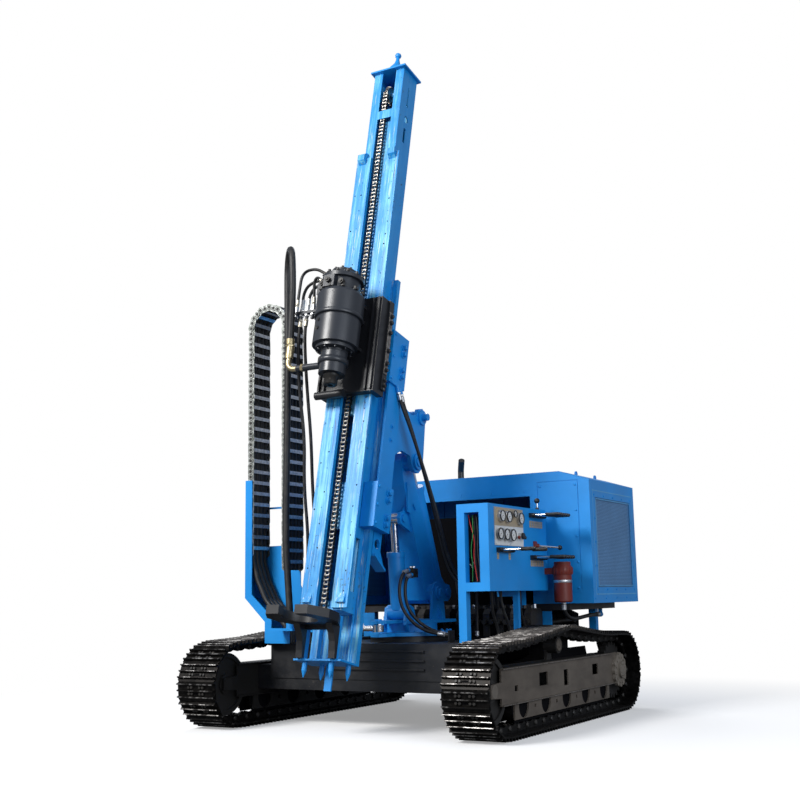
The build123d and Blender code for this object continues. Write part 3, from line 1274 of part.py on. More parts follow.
export("exhaust", exhaust())
export("console_frame", console_frame())
export("console_panel", console_panel())
export("gauges", gauges())
export("levers", levers())
export("canister", canister())
export("hose_tower", hose_tower())
export("chain_loop", chain_loop())
export("chain_hoses", chain_hoses())
export("head_hoses", head_hoses())
export("console_hoses", console_hoses())
export("sheath_hose", hose("sheath_hose", SHEATH_ROUTE, SHEATH_RADIUS))
export("return_hose", hose("return_hose", RETURN_ROUTE, 15))
for family, routes in (("feed_hose_", FEED_ROUTES), ("carrier_hose_", CARRIER_ROUTES),
    ("valve_hose_", VALVE_ROUTES)):
    for i, route in enumerate(routes):
        name = family + str(i + 1)
        export(name, hose(name, route, HOSE_RADIUS))
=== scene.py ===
import math
import random
import re

import bmesh
import bpy
from mathutils import Matrix, Vector


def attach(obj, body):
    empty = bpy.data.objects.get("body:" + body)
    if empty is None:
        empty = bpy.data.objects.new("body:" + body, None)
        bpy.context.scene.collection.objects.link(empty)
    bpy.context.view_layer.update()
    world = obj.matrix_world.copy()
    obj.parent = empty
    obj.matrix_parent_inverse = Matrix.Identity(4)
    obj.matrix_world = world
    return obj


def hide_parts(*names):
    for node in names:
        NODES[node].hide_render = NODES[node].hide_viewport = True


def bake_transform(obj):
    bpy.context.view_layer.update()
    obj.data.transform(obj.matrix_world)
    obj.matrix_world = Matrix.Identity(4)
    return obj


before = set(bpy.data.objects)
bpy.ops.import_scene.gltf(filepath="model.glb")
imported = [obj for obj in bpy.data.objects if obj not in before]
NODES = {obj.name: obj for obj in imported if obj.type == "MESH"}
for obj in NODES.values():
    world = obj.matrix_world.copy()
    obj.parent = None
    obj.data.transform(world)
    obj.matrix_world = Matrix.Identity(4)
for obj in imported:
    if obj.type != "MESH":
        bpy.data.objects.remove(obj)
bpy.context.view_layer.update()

# Everything is in metres.  +X is the machine's left, -Y its front, +Z up.
# FRONT's Y starts at the tracks' front end, MAST's Z runs up the leaning mast, CONSOLE's origin is the
# upper front corner of the console's outer face.  A Build stands in FRONT until at() says otherwise.
STATION = -1.27
FRONT = Matrix.Translation((0, STATION, 0))
MAST_LEAN = math.radians(13.0)
MAST = Matrix.Translation((0, STATION - 0.02, 0.5)) @ Matrix.Rotation(-MAST_LEAN, 4, "X")
HEAD = MAST @ Matrix.Translation((0, -0.24, 0))
CONSOLE = FRONT @ Matrix.Translation((0.88, 0.79, 1.533))
DECK_TOP = 0.58
DUST_TOP = 1.6  # up to here the dust and dirt on paint thin out
SIDES = {1: "left", -1: "right"}


# ---------------------------------------------------------------- materials
class Look:
    """A material being made; its patterns lie on object coordinates, so they stay on their piece."""

    def __init__(self, name):
        self.material = bpy.data.materials.new(name)
        self.material.use_nodes = True
        self.tree = self.material.node_tree

    def feed(self, socket, value):
        """Give an input a plain value, a colour or another node's output."""
        if isinstance(value, bpy.types.NodeSocket):
            self.tree.links.new(value, socket)
        elif socket.type == "RGBA":
            socket.default_value = (*value, 1)
        else:
            socket.default_value = value

    def node(self, kind, inputs, output=0, **settings):
        """Add a node and hand back one of its outputs."""
        node = self.tree.nodes.new("ShaderNode" + kind)
        for key, value in settings.items():
            setattr(node, key, value)
        for key, value in inputs.items():
            self.feed(node.inputs[key], value)
        return node.outputs[output]

    def axis(self, letter, kind="Object"):
        """One object coordinate, or with "Normal" how far the surface faces along it, -1 to 1."""
        return self.node("SeparateXYZ", {0: self.node("TexCoord", {}, kind)}, letter)

    def noise(self, scale, detail=4.0, rough=0.55, stretch=(1, 1, 1), lean=0.0):
        """Noise, longer along an axis whose stretch is small; lean turns it with the mast."""
        turned = {"Scale": [1 / v for v in stretch], "Rotation": (-lean, 0, 0)}
        turned["Vector"] = self.node("TexCoord", {}, "Object")
        spot = self.node("Mapping", turned, vector_type="TEXTURE")
        inputs = {"Vector": spot, "Scale": scale, "Detail": detail, "Roughness": rough}
        return self.node("TexNoise", inputs, "Fac")

    def ramp(self, value, low, high, a=0.0, b=1.0):
        """a where the value is low or less, b where it is high or more."""
        inputs = {"Value": value, "From Min": low, "From Max": high, "To Min": a, "To Max": b}
        return self.node("MapRange", inputs, "Result")

    def patches(self, noise, low, high, a=0.0, b=1.0):
        """ramp() over noise()."""
        return self.ramp(self.noise(*noise), low, high, a, b)

    def math(self, kind, a, b=0.0):
        return self.node("Math", {0: a, 1: b}, operation=kind)

    def times(self, a, b):
        return self.math("MULTIPLY", a, b)

    def mix(self, share, a, b):
        """Colour a at share 0, b at share 1."""
        return self.node("Mix", {0: share, 6: a, 7: b}, 2, data_type="RGBA")

    def finish(self, surface, height=None, depth=0.0, strength=0.5):
        """The material, with the surface's inputs wired up and a bump from a height pattern."""
        if height is not None:
            bump = {"Height": height, "Distance": depth, "Strength": strength}
            surface["Normal"] = self.node("Bump", bump, "Normal")
        for key, value in surface.items():
            self.feed(self.tree.nodes["Principled BSDF"].inputs[key], value)
        return self.material


def dim(colour, share):
    return tuple(c * share for c in colour)


def paint(name, base, dirt, chip, dust, chips, roughness, streaks=None, specular=0.5):
    """Machine paint: clouds, dust on top faces and low down, runs, chips, orange peel."""
    look = Look(name)
    cloud = look.patches((2.2, 5.0), 0.35, 0.7)
    colour = look.mix(cloud, dim(base, 0.8), base)
    low = look.ramp(look.ramp(look.axis("Z"), 0.1, DUST_TOP), 0.0, 1.0, dust, dust * 0.12)
    grime = look.times(look.patches((9.0, 7.0, 0.7), 0.4, 0.72), low)
    colour = look.mix(grime, colour, dirt)
    top = look.ramp(look.axis("Z", "Normal"), 0.5, 1.0)
    settled = look.times(top, look.patches((5.0, 6.0), 0.3, 0.75, 0.1, dust * 1.2))
    colour = look.mix(settled, colour, dirt)
    runs = look.patches((14.0, 3.0, 0.5, (1, 1, 0.08)), 0.6, 0.78, 0.0, 0.3)
    colour = look.mix(look.times(runs, low), colour, dirt)
    spots = look.patches((38.0, 6.0, 0.65), chips, chips + 0.03)
    worn = look.times(spots, look.patches((3.1, 2.0), 0.48, 0.6))
    colour = look.mix(worn, colour, chip)
    if streaks:
        front = look.ramp(look.math("ABSOLUTE", look.axis("X", "Normal")), 0.4, 0.7, 1.0, 0.12)
        colour = look.mix(front, colour, worn_streaks(look, colour, *streaks))
    rough = look.math("ADD", roughness, look.times(grime, 0.45))
    rough = look.math("ADD", rough, look.ramp(cloud, 0, 1, 0, 0.08))
    height = look.math("SUBTRACT", look.noise(160.0, 3.0), look.times(worn, 2.0))
    surface = {"Base Color": colour, "Roughness": rough, "Specular IOR Level": specular}
    return look.finish(surface, height, 0.0006)


def worn_streaks(look, colour, light, dark):
    """Long streaks down the mast: pale where the paint is rubbed, dark where grease has run."""
    pale = look.patches((34.0, 6.0, 0.7, (1, 1, 0.05), MAST_LEAN), 0.46, 0.6, 0.0, 0.9)
    pale = look.times(pale, look.patches((2.2, 4.0), 0.36, 0.58, 0.15, 1.0))
    colour = look.mix(pale, colour, light)
    greasy = look.patches((52.0, 6.0, 0.75, (1, 1, 0.04), MAST_LEAN), 0.54, 0.64, 0.0, 0.85)
    spread = look.patches((1.6, 3.0), 0.34, 0.56)
    colour = look.mix(look.times(greasy, spread), colour, dark)
    scratch = look.patches((90.0, 3.0, 0.6, (1, 1, 0.05), MAST_LEAN), 0.6, 0.66, 0.0, 0.8)
    return look.mix(look.times(scratch, spread), colour, (0.5, 0.62, 0.64))


def dusty_outside_shaded_inside(name, inner, outer, dirt, low, high):
    """Dusty paint on the outermost face, further out than low to high; near-black painted shade on the faces
    behind it.
    """
    look = Look(name)
    colour = look.mix(look.patches((3.0, 6.0, 0.6), 0.3, 0.7), outer, dirt)
    streak = look.patches((10.0, 5.0, 0.6, (1, 0.25, 1)), 0.5, 0.75, 0.0, 0.6)
    colour = look.mix(streak, colour, dim(outer, 0.45))
    spots = look.patches((55.0, 5.0, 0.6), 0.66, 0.7, 0.0, 0.8)
    colour = look.mix(spots, colour, (0.02, 0.018, 0.016))
    # painted shade: every face further in than low to high turns near-black
    side = look.ramp(look.math("ABSOLUTE", look.axis("X")), low, high)
    surface = {"Base Color": look.mix(side, inner, colour), "Roughness": 0.6}
    return look.finish(surface, look.noise(120.0), 0.0006)


def mesh_sheet(name, wire, hole_shade, pitch=0.011):
    """Perforated sheet on a side face: staggered rows of round dark spots, painted shade for the holes."""
    look = Look(name)
    waves = []
    for letter in "YZ":
        turns = look.times(look.axis(letter), math.pi / pitch)
        waves.append(look.math("ABSOLUTE", look.math("SINE", turns)))
    gap = look.ramp(look.times(*waves), 0.35, 0.6)
    metal_part = look.mix(look.patches((4.0, 4.0), 0.3, 0.7), wire, dim(wire, 0.8))
    # the holes' colour is painted shade: the dark behind them
    surface = {"Base Color": look.mix(gap, metal_part, hole_shade), "Roughness": 0.5}
    return look.finish(surface, look.math("SUBTRACT", 1.0, gap), 0.0008, 0.6)


def two_tone_shaded(name, low_colour, high_colour, low, high):
    """Blue legs under a near-black ring: dark frame paint, deepened by painted shade under the hood."""
    look = Look(name)
    cloud = look.patches((6.0, 5.0), 0.35, 0.7)
    legs = look.mix(cloud, low_colour, dim(low_colour, 0.55))
    # the ring's black: dark paint, and painted shade below the hood
    ring = look.mix(cloud, high_colour, (0.035, 0.032, 0.03))
    colour = look.mix(look.ramp(look.axis("Z"), low, high), legs, ring)
    return look.finish({"Base Color": colour, "Roughness": 0.5})


def metal(name, base, tint, roughness, scale, rust=None, amount=0.0):
    """Bare metal with a grain of two colours; rust covers an amount of it in spots."""
    look = Look(name)
    grain = look.noise(scale, 6.0, 0.65)
    colour = look.mix(look.ramp(grain, 0.35, 0.7), base, tint)
    if rust:
        spots = look.patches((12.0, 8.0, 0.7), 1 - amount, 1.05 - amount)
        colour = look.mix(spots, colour, rust)
    rough = look.ramp(grain, 0.3, 0.75, roughness, roughness + 0.22)
    return look.finish({"Base Color": colour, "Roughness": rough, "Metallic": 1.0}, grain, 0.0004, 0.6)


def worn_and_shaded_ridge(name, bright, dull):
    """Grouser edges: rubbed bright in broken patches round the wheels, darkened along the top run by painted
    shade.
    """
    look = Look(name)
    rubbed = look.patches((11.0, 6.0, 0.7), 0.48, 0.62)
    # painted shade: the same edges darker higher up, along the top run
    low = look.ramp(look.ramp(look.axis("Z"), 0.5, 0.66), 0.0, 1.0, 1.0, 0.18)
    surface = {"Base Color": look.mix(look.times(rubbed, low), dull, bright)}
    surface.update({"Roughness": 0.46, "Metallic": 1.0})
    return look.finish(surface, look.noise(60.0), 0.0004, 0.6)


def rubber(name, base, dusty, roughness=0.5):
    look = Look(name)
    grime = look.patches((18.0, 6.0, 0.6), 0.5, 0.78, 0.0, 0.7)
    rough = look.ramp(grime, 0, 1, roughness, 0.85)
    surface = {"Base Color": look.mix(grime, base, dusty), "Roughness": rough}
    return look.finish(surface, look.noise(420.0, 2.0), 0.0003)


AZURE = (0.004, 0.285, 0.78)
# Paints: base, dirt and chip colours; share of dust, threshold of the chips (high: few), roughness.
BLUE = paint("blue_paint_look", AZURE, (0.03, 0.24, 0.5), (0.02, 0.07, 0.14), 0.26, 0.68, 0.4)
MAST_BLUE = paint("mast_paint_look", (0.006, 0.285, 0.74), (0.05, 0.32, 0.5), (0.02, 0.07, 0.12),
                  0.3, 0.62, 0.36, streaks=((0.2, 0.6, 0.76), (0.003, 0.07, 0.22)))
BLACK = paint("black_paint_look", (0.012, 0.013, 0.016), (0.04, 0.037, 0.034), (0.06, 0.045, 0.035),
              0.4, 0.66, 0.34)
GLOSS_BLACK = paint("gloss_black_look", (0.024, 0.028, 0.036), (0.055, 0.055, 0.06), (0.05, 0.04, 0.03),
                    0.35, 0.7, 0.3)
DUSTY_CAP = paint("dusty_cap_look", (0.085, 0.07, 0.055), (0.14, 0.12, 0.1), (0.02, 0.018, 0.016),
                  0.5, 0.58, 0.6)
GREASY = paint("greasy_steel_look", (0.014, 0.013, 0.012), (0.05, 0.042, 0.034), (0.08, 0.07, 0.06),
               0.6, 0.6, 0.42)
RED = paint("red_paint_look", (0.2, 0.02, 0.009), (0.11, 0.06, 0.05), (0.05, 0.015, 0.01), 0.35, 0.64, 0.42)
# lighter blue for the grille frames' edges: painted highlight
HIGHLIGHT_EDGE_BLUE = paint("painted_highlight_edge_look", (0.1, 0.42, 0.76), (0.2, 0.46, 0.66), (0.02, 0.1, 0.24), 0.5, 0.6, 0.4)
# near-black with hardly any shine: painted shade in hollows, recesses and gaps, black print on the dials and
# plates, and the dark plug welds
SHADE = paint("painted_shade_and_print_look", (0.003, 0.003, 0.004), (0.008, 0.008, 0.009), (0.012, 0.011, 0.01),
              0.2, 0.7, 0.8, specular=0.08)
WHITE = paint("white_board_look", (0.8, 0.81, 0.8), (0.45, 0.42, 0.36), (0.3, 0.28, 0.25), 0.4, 0.66, 0.35)
TAN = paint("tan_board_look", (0.46, 0.37, 0.25), (0.3, 0.25, 0.18), (0.16, 0.12, 0.08), 0.4, 0.62, 0.5)
# Dust on outer faces, painted shade behind them: inner (painted shade), outer and dirt colours; distance
# from the middle where it begins and is full.
DUSTY_AND_SHADED_FRAME = dusty_outside_shaded_inside("frame_paint_look", (0.008, 0.007, 0.006), (0.072, 0.058, 0.045),
                         (0.13, 0.108, 0.086), 1.112, 1.116)
HUB = dusty_outside_shaded_inside("hub_paint_look", (0.012, 0.011, 0.01), (0.15, 0.128, 0.104), (0.22, 0.19, 0.155),
                 1.128, 1.131)
# Metals: the grain's two colours, roughness, scale of the grain.
TRACK = metal("track_steel_look", (0.012, 0.012, 0.012), (0.034, 0.031, 0.029), 0.4, 30.0,
              rust=(0.055, 0.042, 0.033), amount=0.36)
CHAIN_PLATE = metal("chain_plate_look", (0.52, 0.54, 0.52), (0.16, 0.18, 0.16), 0.42, 45.0)
CHROME = metal("chrome_look", (0.86, 0.86, 0.87), (0.66, 0.67, 0.69), 0.1, 40.0)
ZINC = metal("zinc_look", (0.72, 0.73, 0.74), (0.4, 0.41, 0.43), 0.32, 50.0)
STEEL = metal("worn_steel_look", (0.42, 0.39, 0.36), (0.13, 0.115, 0.1), 0.36, 35.0)
CHAIN_STEEL = metal("chain_steel_look", (0.56, 0.54, 0.5), (0.12, 0.11, 0.1), 0.34, 60.0)
BRASS = metal("brass_look", (0.64, 0.54, 0.33), (0.44, 0.36, 0.21), 0.34, 50.0)
CREAM = metal("passivated_look", (0.74, 0.69, 0.56), (0.48, 0.44, 0.36), 0.34, 50.0)
BRONZE = metal("bronze_block_look", (0.16, 0.11, 0.065), (0.07, 0.05, 0.035), 0.42, 30.0)
RIDGE = worn_and_shaded_ridge("worn_ridge_look", (0.58, 0.56, 0.54), (0.03, 0.028, 0.027))
MESH = mesh_sheet("grille_mesh_look", (0.12, 0.31, 0.59), (0.015, 0.065, 0.16))
RUBBER = rubber("hose_rubber_look", (0.008, 0.008, 0.009), (0.05, 0.048, 0.045))
GRIP = rubber("grip_look", (0.01, 0.01, 0.01), (0.05, 0.05, 0.05), 0.35)
RED_WIRE = rubber("red_wire_look", (0.5, 0.015, 0.012), (0.3, 0.05, 0.04), 0.4)
GREEN_WIRE = rubber("green_wire_look", (0.02, 0.26, 0.05), (0.06, 0.18, 0.08), 0.4)
# black ring: dark frame paint deepened with painted shade under the hood
BASE_LOOK = two_tone_shaded("base_ring_look", AZURE, (0.008, 0.009, 0.012), 0.772, 0.774)

NODE_LOOKS = {
    # patterns of the CAD nodes' names; the first that fits counts, and the rest are BLUE
    "track_frame.*": DUSTY_AND_SHADED_FRAME,
    "track_.*": TRACK,
    "(idler|sprocket).*": HUB,
    "front_axle|rear_axle|carbody|deck|pile_guide|carriage|levers|exhaust": BLACK,
    # the engine and the hood floor in near-black painted shade, the shade inside the engine house
    "engine|hood_floor": SHADE,
    "hood_base": BASE_LOOK,
    "power_head|spindle": GLOSS_BLACK,
    "grille.*": MESH,
    ".*_rod": CHROME,
    "mast_box|front_rails": MAST_BLUE,
    "feed_chain": STEEL,
    "chain_loop|gauges": ZINC,
    "canister": RED,
    ".*_hoses": RUBBER,
}
for name, node in NODES.items():
    fitting = [look for pattern, look in NODE_LOOKS.items() if re.fullmatch(pattern, name)]
    node.data.materials.clear()
    node.data.materials.append((fitting + [BLUE])[0])


# ---------------------------------------------------------------- mesh building
def deepen(flat, axis, depth):
    """Point from its two coordinates across an axis and its depth along it."""
    place = "xyz".index(axis)
    return (*flat[:place], depth, *flat[place:])


def circle(count, radius, start=0.0):
    """Spots round a circle, the first of them start steps past the first axis."""
    for i in range(count):
        a = 2 * math.pi * (i + start) / count
        yield radius * math.cos(a), radius * math.sin(a)


def trapezoid(middle, foot, top, low, high):
    """Symmetric outline; foot and top are half its widths at low and high."""
    return [(middle - foot, low), (middle - top, high), (middle + top, high), (middle + foot, low)]


def chamfered(a0, a1, b0, b1, along, across):
    """Rectangle outline with its corners cut off."""
    return [(a0, b0 + across), (a0 + along, b0), (a1 - along, b0), (a1, b0 + across),
            (a1, b1 - across), (a1 - along, b1), (a0 + along, b1), (a0, b1 - across)]


def mirrored(half):
    """Closed outline from its half at positive x."""
    return half + [(-x, z) for x, z in reversed(half)]


class Build:
    """Collects solids in one mesh; each call adds to the material chosen last with use()."""

    def __init__(self, *materials):
        self.mesh = bmesh.new()
        self.materials = list(materials)
        self.slot = 0
        self.place = FRONT

    def use(self, material):
        if material not in self.materials:
            self.materials.append(material)
        self.slot = self.materials.index(material)
        return self

    def at(self, matrix):
        self.place = matrix
        return self

    def faces(self, points, rings, smooth=False):
        corners = [self.mesh.verts.new(self.place @ Vector(p)) for p in points]
        for ring in rings:
            face = self.mesh.faces.new([corners[i] for i in ring])
            face.material_index = self.slot
            face.smooth = smooth

    def box(self, x0, x1, y0, y1, z0, z1):
        points = [(x, y, z) for z in (z0, z1) for y in (y0, y1) for x in (x0, x1)]
        rings = [(0, 2, 3, 1), (4, 5, 7, 6), (0, 1, 5, 4), (2, 6, 7, 3), (0, 4, 6, 2), (1, 3, 7, 5)]
        self.faces(points, rings)

    def prism(self, outline, normal, start, thick):
        """Flat outline pushed along a normal: 'x' takes (y, z), 'y' (x, z), 'z' (x, y)."""
        count = len(outline)
        points = [deepen(spot, normal, depth) for depth in (start, start + thick) for spot in outline]
        rings = [range(count), range(2 * count - 1, count - 1, -1)]
        rings += [((i + 1) % count, i, i + count, (i + 1) % count + count) for i in range(count)]
        self.faces(points, rings)

    def skin(self, points, sides, smooth):
        """Faces round rows of points, sides to a row, and a cap on each end."""
        rings = []
        for row in range(0, len(points) - sides, sides):
            for k in range(sides):
                a, b = row + k, row + (k + 1) % sides
                rings.append((a, b, b + sides, a + sides))
        self.faces(points, rings, smooth)
        self.faces(points[:sides], [range(sides - 1, -1, -1)])
        self.faces(points[-sides:], [range(sides)])

    def rod(self, a, b, radius, sides=12, smooth=True):
        self.tube([a, b], radius, sides, smooth)

    def tube(self, path, radius, sides=10, smooth=True, tip=None):
        """Round tube along points; tip is the radius at the far end."""
        path = [Vector(p) for p in path]
        last = len(path) - 1
        side = None
        points = []
        for i, p in enumerate(path):
            ahead = (path[min(i + 1, last)] - path[max(i - 1, 0)]).normalized()
            if side is None:
                side = ahead.orthogonal().normalized()
            side = (side - ahead * side.dot(ahead)).normalized()
            other = ahead.cross(side)
            size = radius if tip is None else radius + (tip - radius) * i / last
            points += [p + side * a + other * b for a, b in circle(sides, size)]
        self.skin(points, sides, smooth)

    def spin(self, rows, axis, sides, origin=(0, 0, 0), smooth=True):
        """Turned piece from (radius, height) rows about an axis through origin."""
        points = [deepen(spot, axis, h) for r, h in rows for spot in circle(sides, r)]
        self.skin([Vector(p) + Vector(origin) for p in points], sides, smooth)

    def bolt(self, origin, axis, radius, height):
        """Bolt head with a small washer."""
        self.spin([(radius * 1.5, 0), (radius * 1.5, height * 0.22)], axis, 10, origin, False)
        rows = [(radius, height * 0.2), (radius, height * 0.9), (radius * 0.8, height)]
        self.spin(rows, axis, 6, origin, False)

    def side_bolt(self, spot, side, radius, height):
        """Bolt head that faces the machine's left (side 1) or right (-1)."""
        home = self.place
        self.at(home @ Matrix.Translation(spot) @ Matrix.Rotation(0 if side > 0 else math.pi, 4, "Z"))
        self.bolt((0, 0, 0), "x", radius, height)
        self.at(home)

    def finish(self, name, body, slot, replaces=(), bevel=0.0):
        bmesh.ops.recalc_face_normals(self.mesh, faces=self.mesh.faces)
        data = bpy.data.meshes.new(name)
        self.mesh.to_mesh(data)
        self.mesh.free()
        for material in self.materials:
            data.materials.append(material)
        item = bpy.data.objects.new(name, data)
        bpy.context.scene.collection.objects.link(item)
        if bevel:
            edge = item.modifiers.new("edges", "BEVEL")
            edge.width = bevel
            edge.segments = 2
            edge.limit_method = "ANGLE"
            edge.angle_limit = math.radians(40)
        if body:
            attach(item, body)
        if replaces:
            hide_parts(*replaces)
        return item


# ---------------------------------------------------------------- tracks
WHEEL_Z = 0.305
GROUSER = 0.022
SHOE_R = WHEEL_Z - GROUSER
IDLER_Y = 0.305
SPROCKET_Y = 2.525
SPAN = SPROCKET_Y - IDLER_Y
CARRIER_Y = IDLER_Y + 0.493 * SPAN
CROWN_Z = 0.665
CARRIER_Z = 0.545
FRAME_HALF = 0.072
FRAME_LIP = 0.014
FRAME_LOW = 0.205
FRAME_HIGH = 0.44
FRAME_FRONT = 0.4
FRAME_REAR = 2.505
SHOE_WIDTH = 0.333
TRACK_X = 1.0585
PITCH = 0.135
PIN = (0.112, -0.036)  # the link's pin, along the track and out from the plate face


def half_turn(middle, way):
    """Inner points of the bend round a wheel, from its top for way 1 and from its foot for way -1."""
    steps = 12
    for i in range(1, steps):
        a = math.pi * i / steps
        yield middle + way * SHOE_R * math.sin(a), WHEEL_Z + way * SHOE_R * math.cos(a)


def track_line():
    """Closed line of the shoes' plate face as (station, height), from the front top, rearward."""
    top = WHEEL_Z + SHOE_R
    sag = [(IDLER_Y, top), (IDLER_Y + 0.17 * SPAN, top + 0.012), (CARRIER_Y - 0.19, CROWN_Z - 0.016),
           (CARRIER_Y - 0.03, CROWN_Z), (CARRIER_Y + 0.03, CROWN_Z), (CARRIER_Y + 0.15, CROWN_Z - 0.014),
           (CARRIER_Y + 0.2 * SPAN, top + 0.03), (CARRIER_Y + 0.33 * SPAN, top + 0.006), (SPROCKET_Y, top)]
    ground = [(SPROCKET_Y, GROUSER), (IDLER_Y, GROUSER)]
    return sag + list(half_turn(SPROCKET_Y, 1)) + ground + list(half_turn(IDLER_Y, -1))


def walk(points, along):
    """Point at a distance along a closed line."""
    for p, q in zip(points, points[1:] + points[:1]):
        step = math.dist(p, q)
        if along <= step:
            return (p[0] + (q[0] - p[0]) * along / step, p[1] + (q[1] - p[1]) * along / step)
        along -= step
    return points[0]


def shoe(build, x):
    """Triple grouser shoe on its chain link: y runs along the track, z outward from the plate face."""
    half = SHOE_WIDTH / 2
    plate = chamfered(x - half, x + half, -0.004, PITCH - 0.006, 0.01, 0.012)
    build.use(TRACK).prism(plate, "z", -0.011, 0.011)
    for y in (PITCH / 6, PITCH / 2, PITCH * 5 / 6):
        body = trapezoid(y, 0.009, 0.0045, -0.001, GROUSER - 0.003)
        build.use(TRACK).prism(body, "x", x - half + 0.004, SHOE_WIDTH - 0.008)
        edge = trapezoid(y, 0.0045, 0.0025, GROUSER - 0.0032, GROUSER)
        build.use(RIDGE).prism(edge, "x", x - half + 0.004, SHOE_WIDTH - 0.008)
    build.use(GREASY)
    for y in (PITCH / 3, PITCH * 2 / 3):
        for dx in (-0.062, -0.036, 0.036, 0.062):
            build.spin([(0.0105, -0.001), (0.0105, 0.01), (0.0085, 0.012)], "z", 6, (x + dx, y, 0), False)
    # a near-black patch of painted shade on the plate between the grousers
    build.use(SHADE).box(x - 0.022, x + 0.022, 0.038, 0.052, -0.001, 0.0004)
    link = [(0.004, -0.01), (0.131, -0.01), (0.138, -0.03), (0.134, -0.054), (0.118, -0.062),
            (0.092, -0.056), (0.06, -0.05), (0.034, -0.06), (0.012, -0.062), (-0.002, -0.05),
            (-0.004, -0.028)]
    bosses = {-0.062: [(0.012, -0.008), (0.017, -0.004), (0.017, 0.016)],
              0.046: [(0.017, 0), (0.017, 0.02), (0.012, 0.024)]}
    for dx, boss in bosses.items():
        build.use(TRACK).prism(link, "x", x + dx, 0.016)
        build.use(GREASY).spin(boss, "x", 10, (x + dx, *PIN))
    build.use(TRACK).spin([(0.02, -0.05), (0.02, 0.05)], "x", 10, (x, *PIN))


def track(side):
    line = track_line()
    total = sum(math.dist(p, q) for p, q in zip(line, line[1:] + line[:1]))
    count = round(total / PITCH)
    build = Build(TRACK, RIDGE)
    for i in range(count):
        a = walk(line, i * total / count)
        b = walk(line, ((i + 1) % count) * total / count)
        turn = math.atan2(b[1] - a[1], b[0] - a[0])
        build.at(FRONT @ Matrix.Translation((0, *a)) @ Matrix.Rotation(turn, 4, "X"))
        shoe(build, side * TRACK_X)
    build.finish("track_shoes_" + SIDES[side], "chassis", "track_steel", ["track_" + SIDES[side]])


def frame_edges():
    """Rubbed lips of the side frames, brightened also as a painted highlight; dark webs of painted shade
    behind the roller guards and over the frames' inner top; the upper rollers' caps.
    """
    build = Build(STEEL, SHADE, DUSTY_CAP)
    out = TRACK_X + FRAME_HALF + FRAME_LIP
    thick = 0.0008
    cap = [(0.044, 0), (0.044, 0.006), (0.036, 0.008), (0.03, 0.004), (0.022, 0.004), (0.018, 0.01),
           (0.003, 0.011)]
    random.seed(9)
    for side in SIDES:
        # bright broken strips on the lips: rubbed steel, partly a painted highlight along the edges
        build.use(STEEL)
        for low in (FRAME_LOW, FRAME_HIGH - 0.008):
            y = FRAME_FRONT + 0.006
            while y < FRAME_REAR - 0.2:
                long = random.uniform(0.05, 0.24)
                high = low + random.uniform(0.005, 0.0075)
                build.box(side * out, side * (out + thick), y, y + long, low + 0.001, high)
                y += long + random.uniform(0.004, 0.035)
        x = side * TRACK_X
        # painted shade: dark sheets over the frame's inner top and behind the roller guards, where the shade
        # falls
        upper = trapezoid(1.865, 0.345, 0.315, FRAME_HIGH - 0.004, 0.505)
        web = trapezoid(1.42, 0.86, 0.82, FRAME_LOW - 0.002, 0.085)
        build.use(SHADE).prism(upper, "x", x - 0.062, 0.006)
        build.prism(web, "x", x - 0.06, 0.004)
        build.prism(web, "x", x + 0.0565, 0.002)
        rows = [(r, side * (TRACK_X + 0.0525 + t)) for r, t in cap]
        build.use(DUSTY_CAP).spin(rows, "x", 28, (0, CARRIER_Y, CARRIER_Z))
    build.finish("frame_edges", "chassis", "frame_steel")


# ---------------------------------------------------------------- hose chain
CHAIN_LEFT, CHAIN_RIGHT = -1.031, -0.66
CHAIN_NEAR, CHAIN_FAR = 0.5683, 0.7787
CHAIN_CROWN = 2.96
CHAIN_ENDS = (1.24, 1.13)
CHAIN_DEEP = 0.056
CHAIN_PITCH = 0.0825
CHAIN_RADIUS = (CHAIN_RIGHT - CHAIN_LEFT) / 2
CHAIN_RISE = CHAIN_CROWN - CHAIN_ENDS[0]
CHAIN_BEND = math.pi * (CHAIN_RADIUS - CHAIN_DEEP / 2)


def chain_walk(along, inset):
    """Point and heading, from the left foot over the top, at an inset from the chain's outer edge."""
    if along < CHAIN_RISE:
        return (CHAIN_LEFT + inset, CHAIN_ENDS[0] + along), math.pi / 2
    along -= CHAIN_RISE
    if along < CHAIN_BEND:
        a = math.pi * along / CHAIN_BEND
        r = CHAIN_RADIUS - inset
        x = (CHAIN_RIGHT + CHAIN_LEFT) / 2 - r * math.cos(a)
        return (x, CHAIN_CROWN + r * math.sin(a)), math.pi / 2 - a
    return (CHAIN_RIGHT - inset, CHAIN_CROWN - (along - CHAIN_BEND)), -math.pi / 2


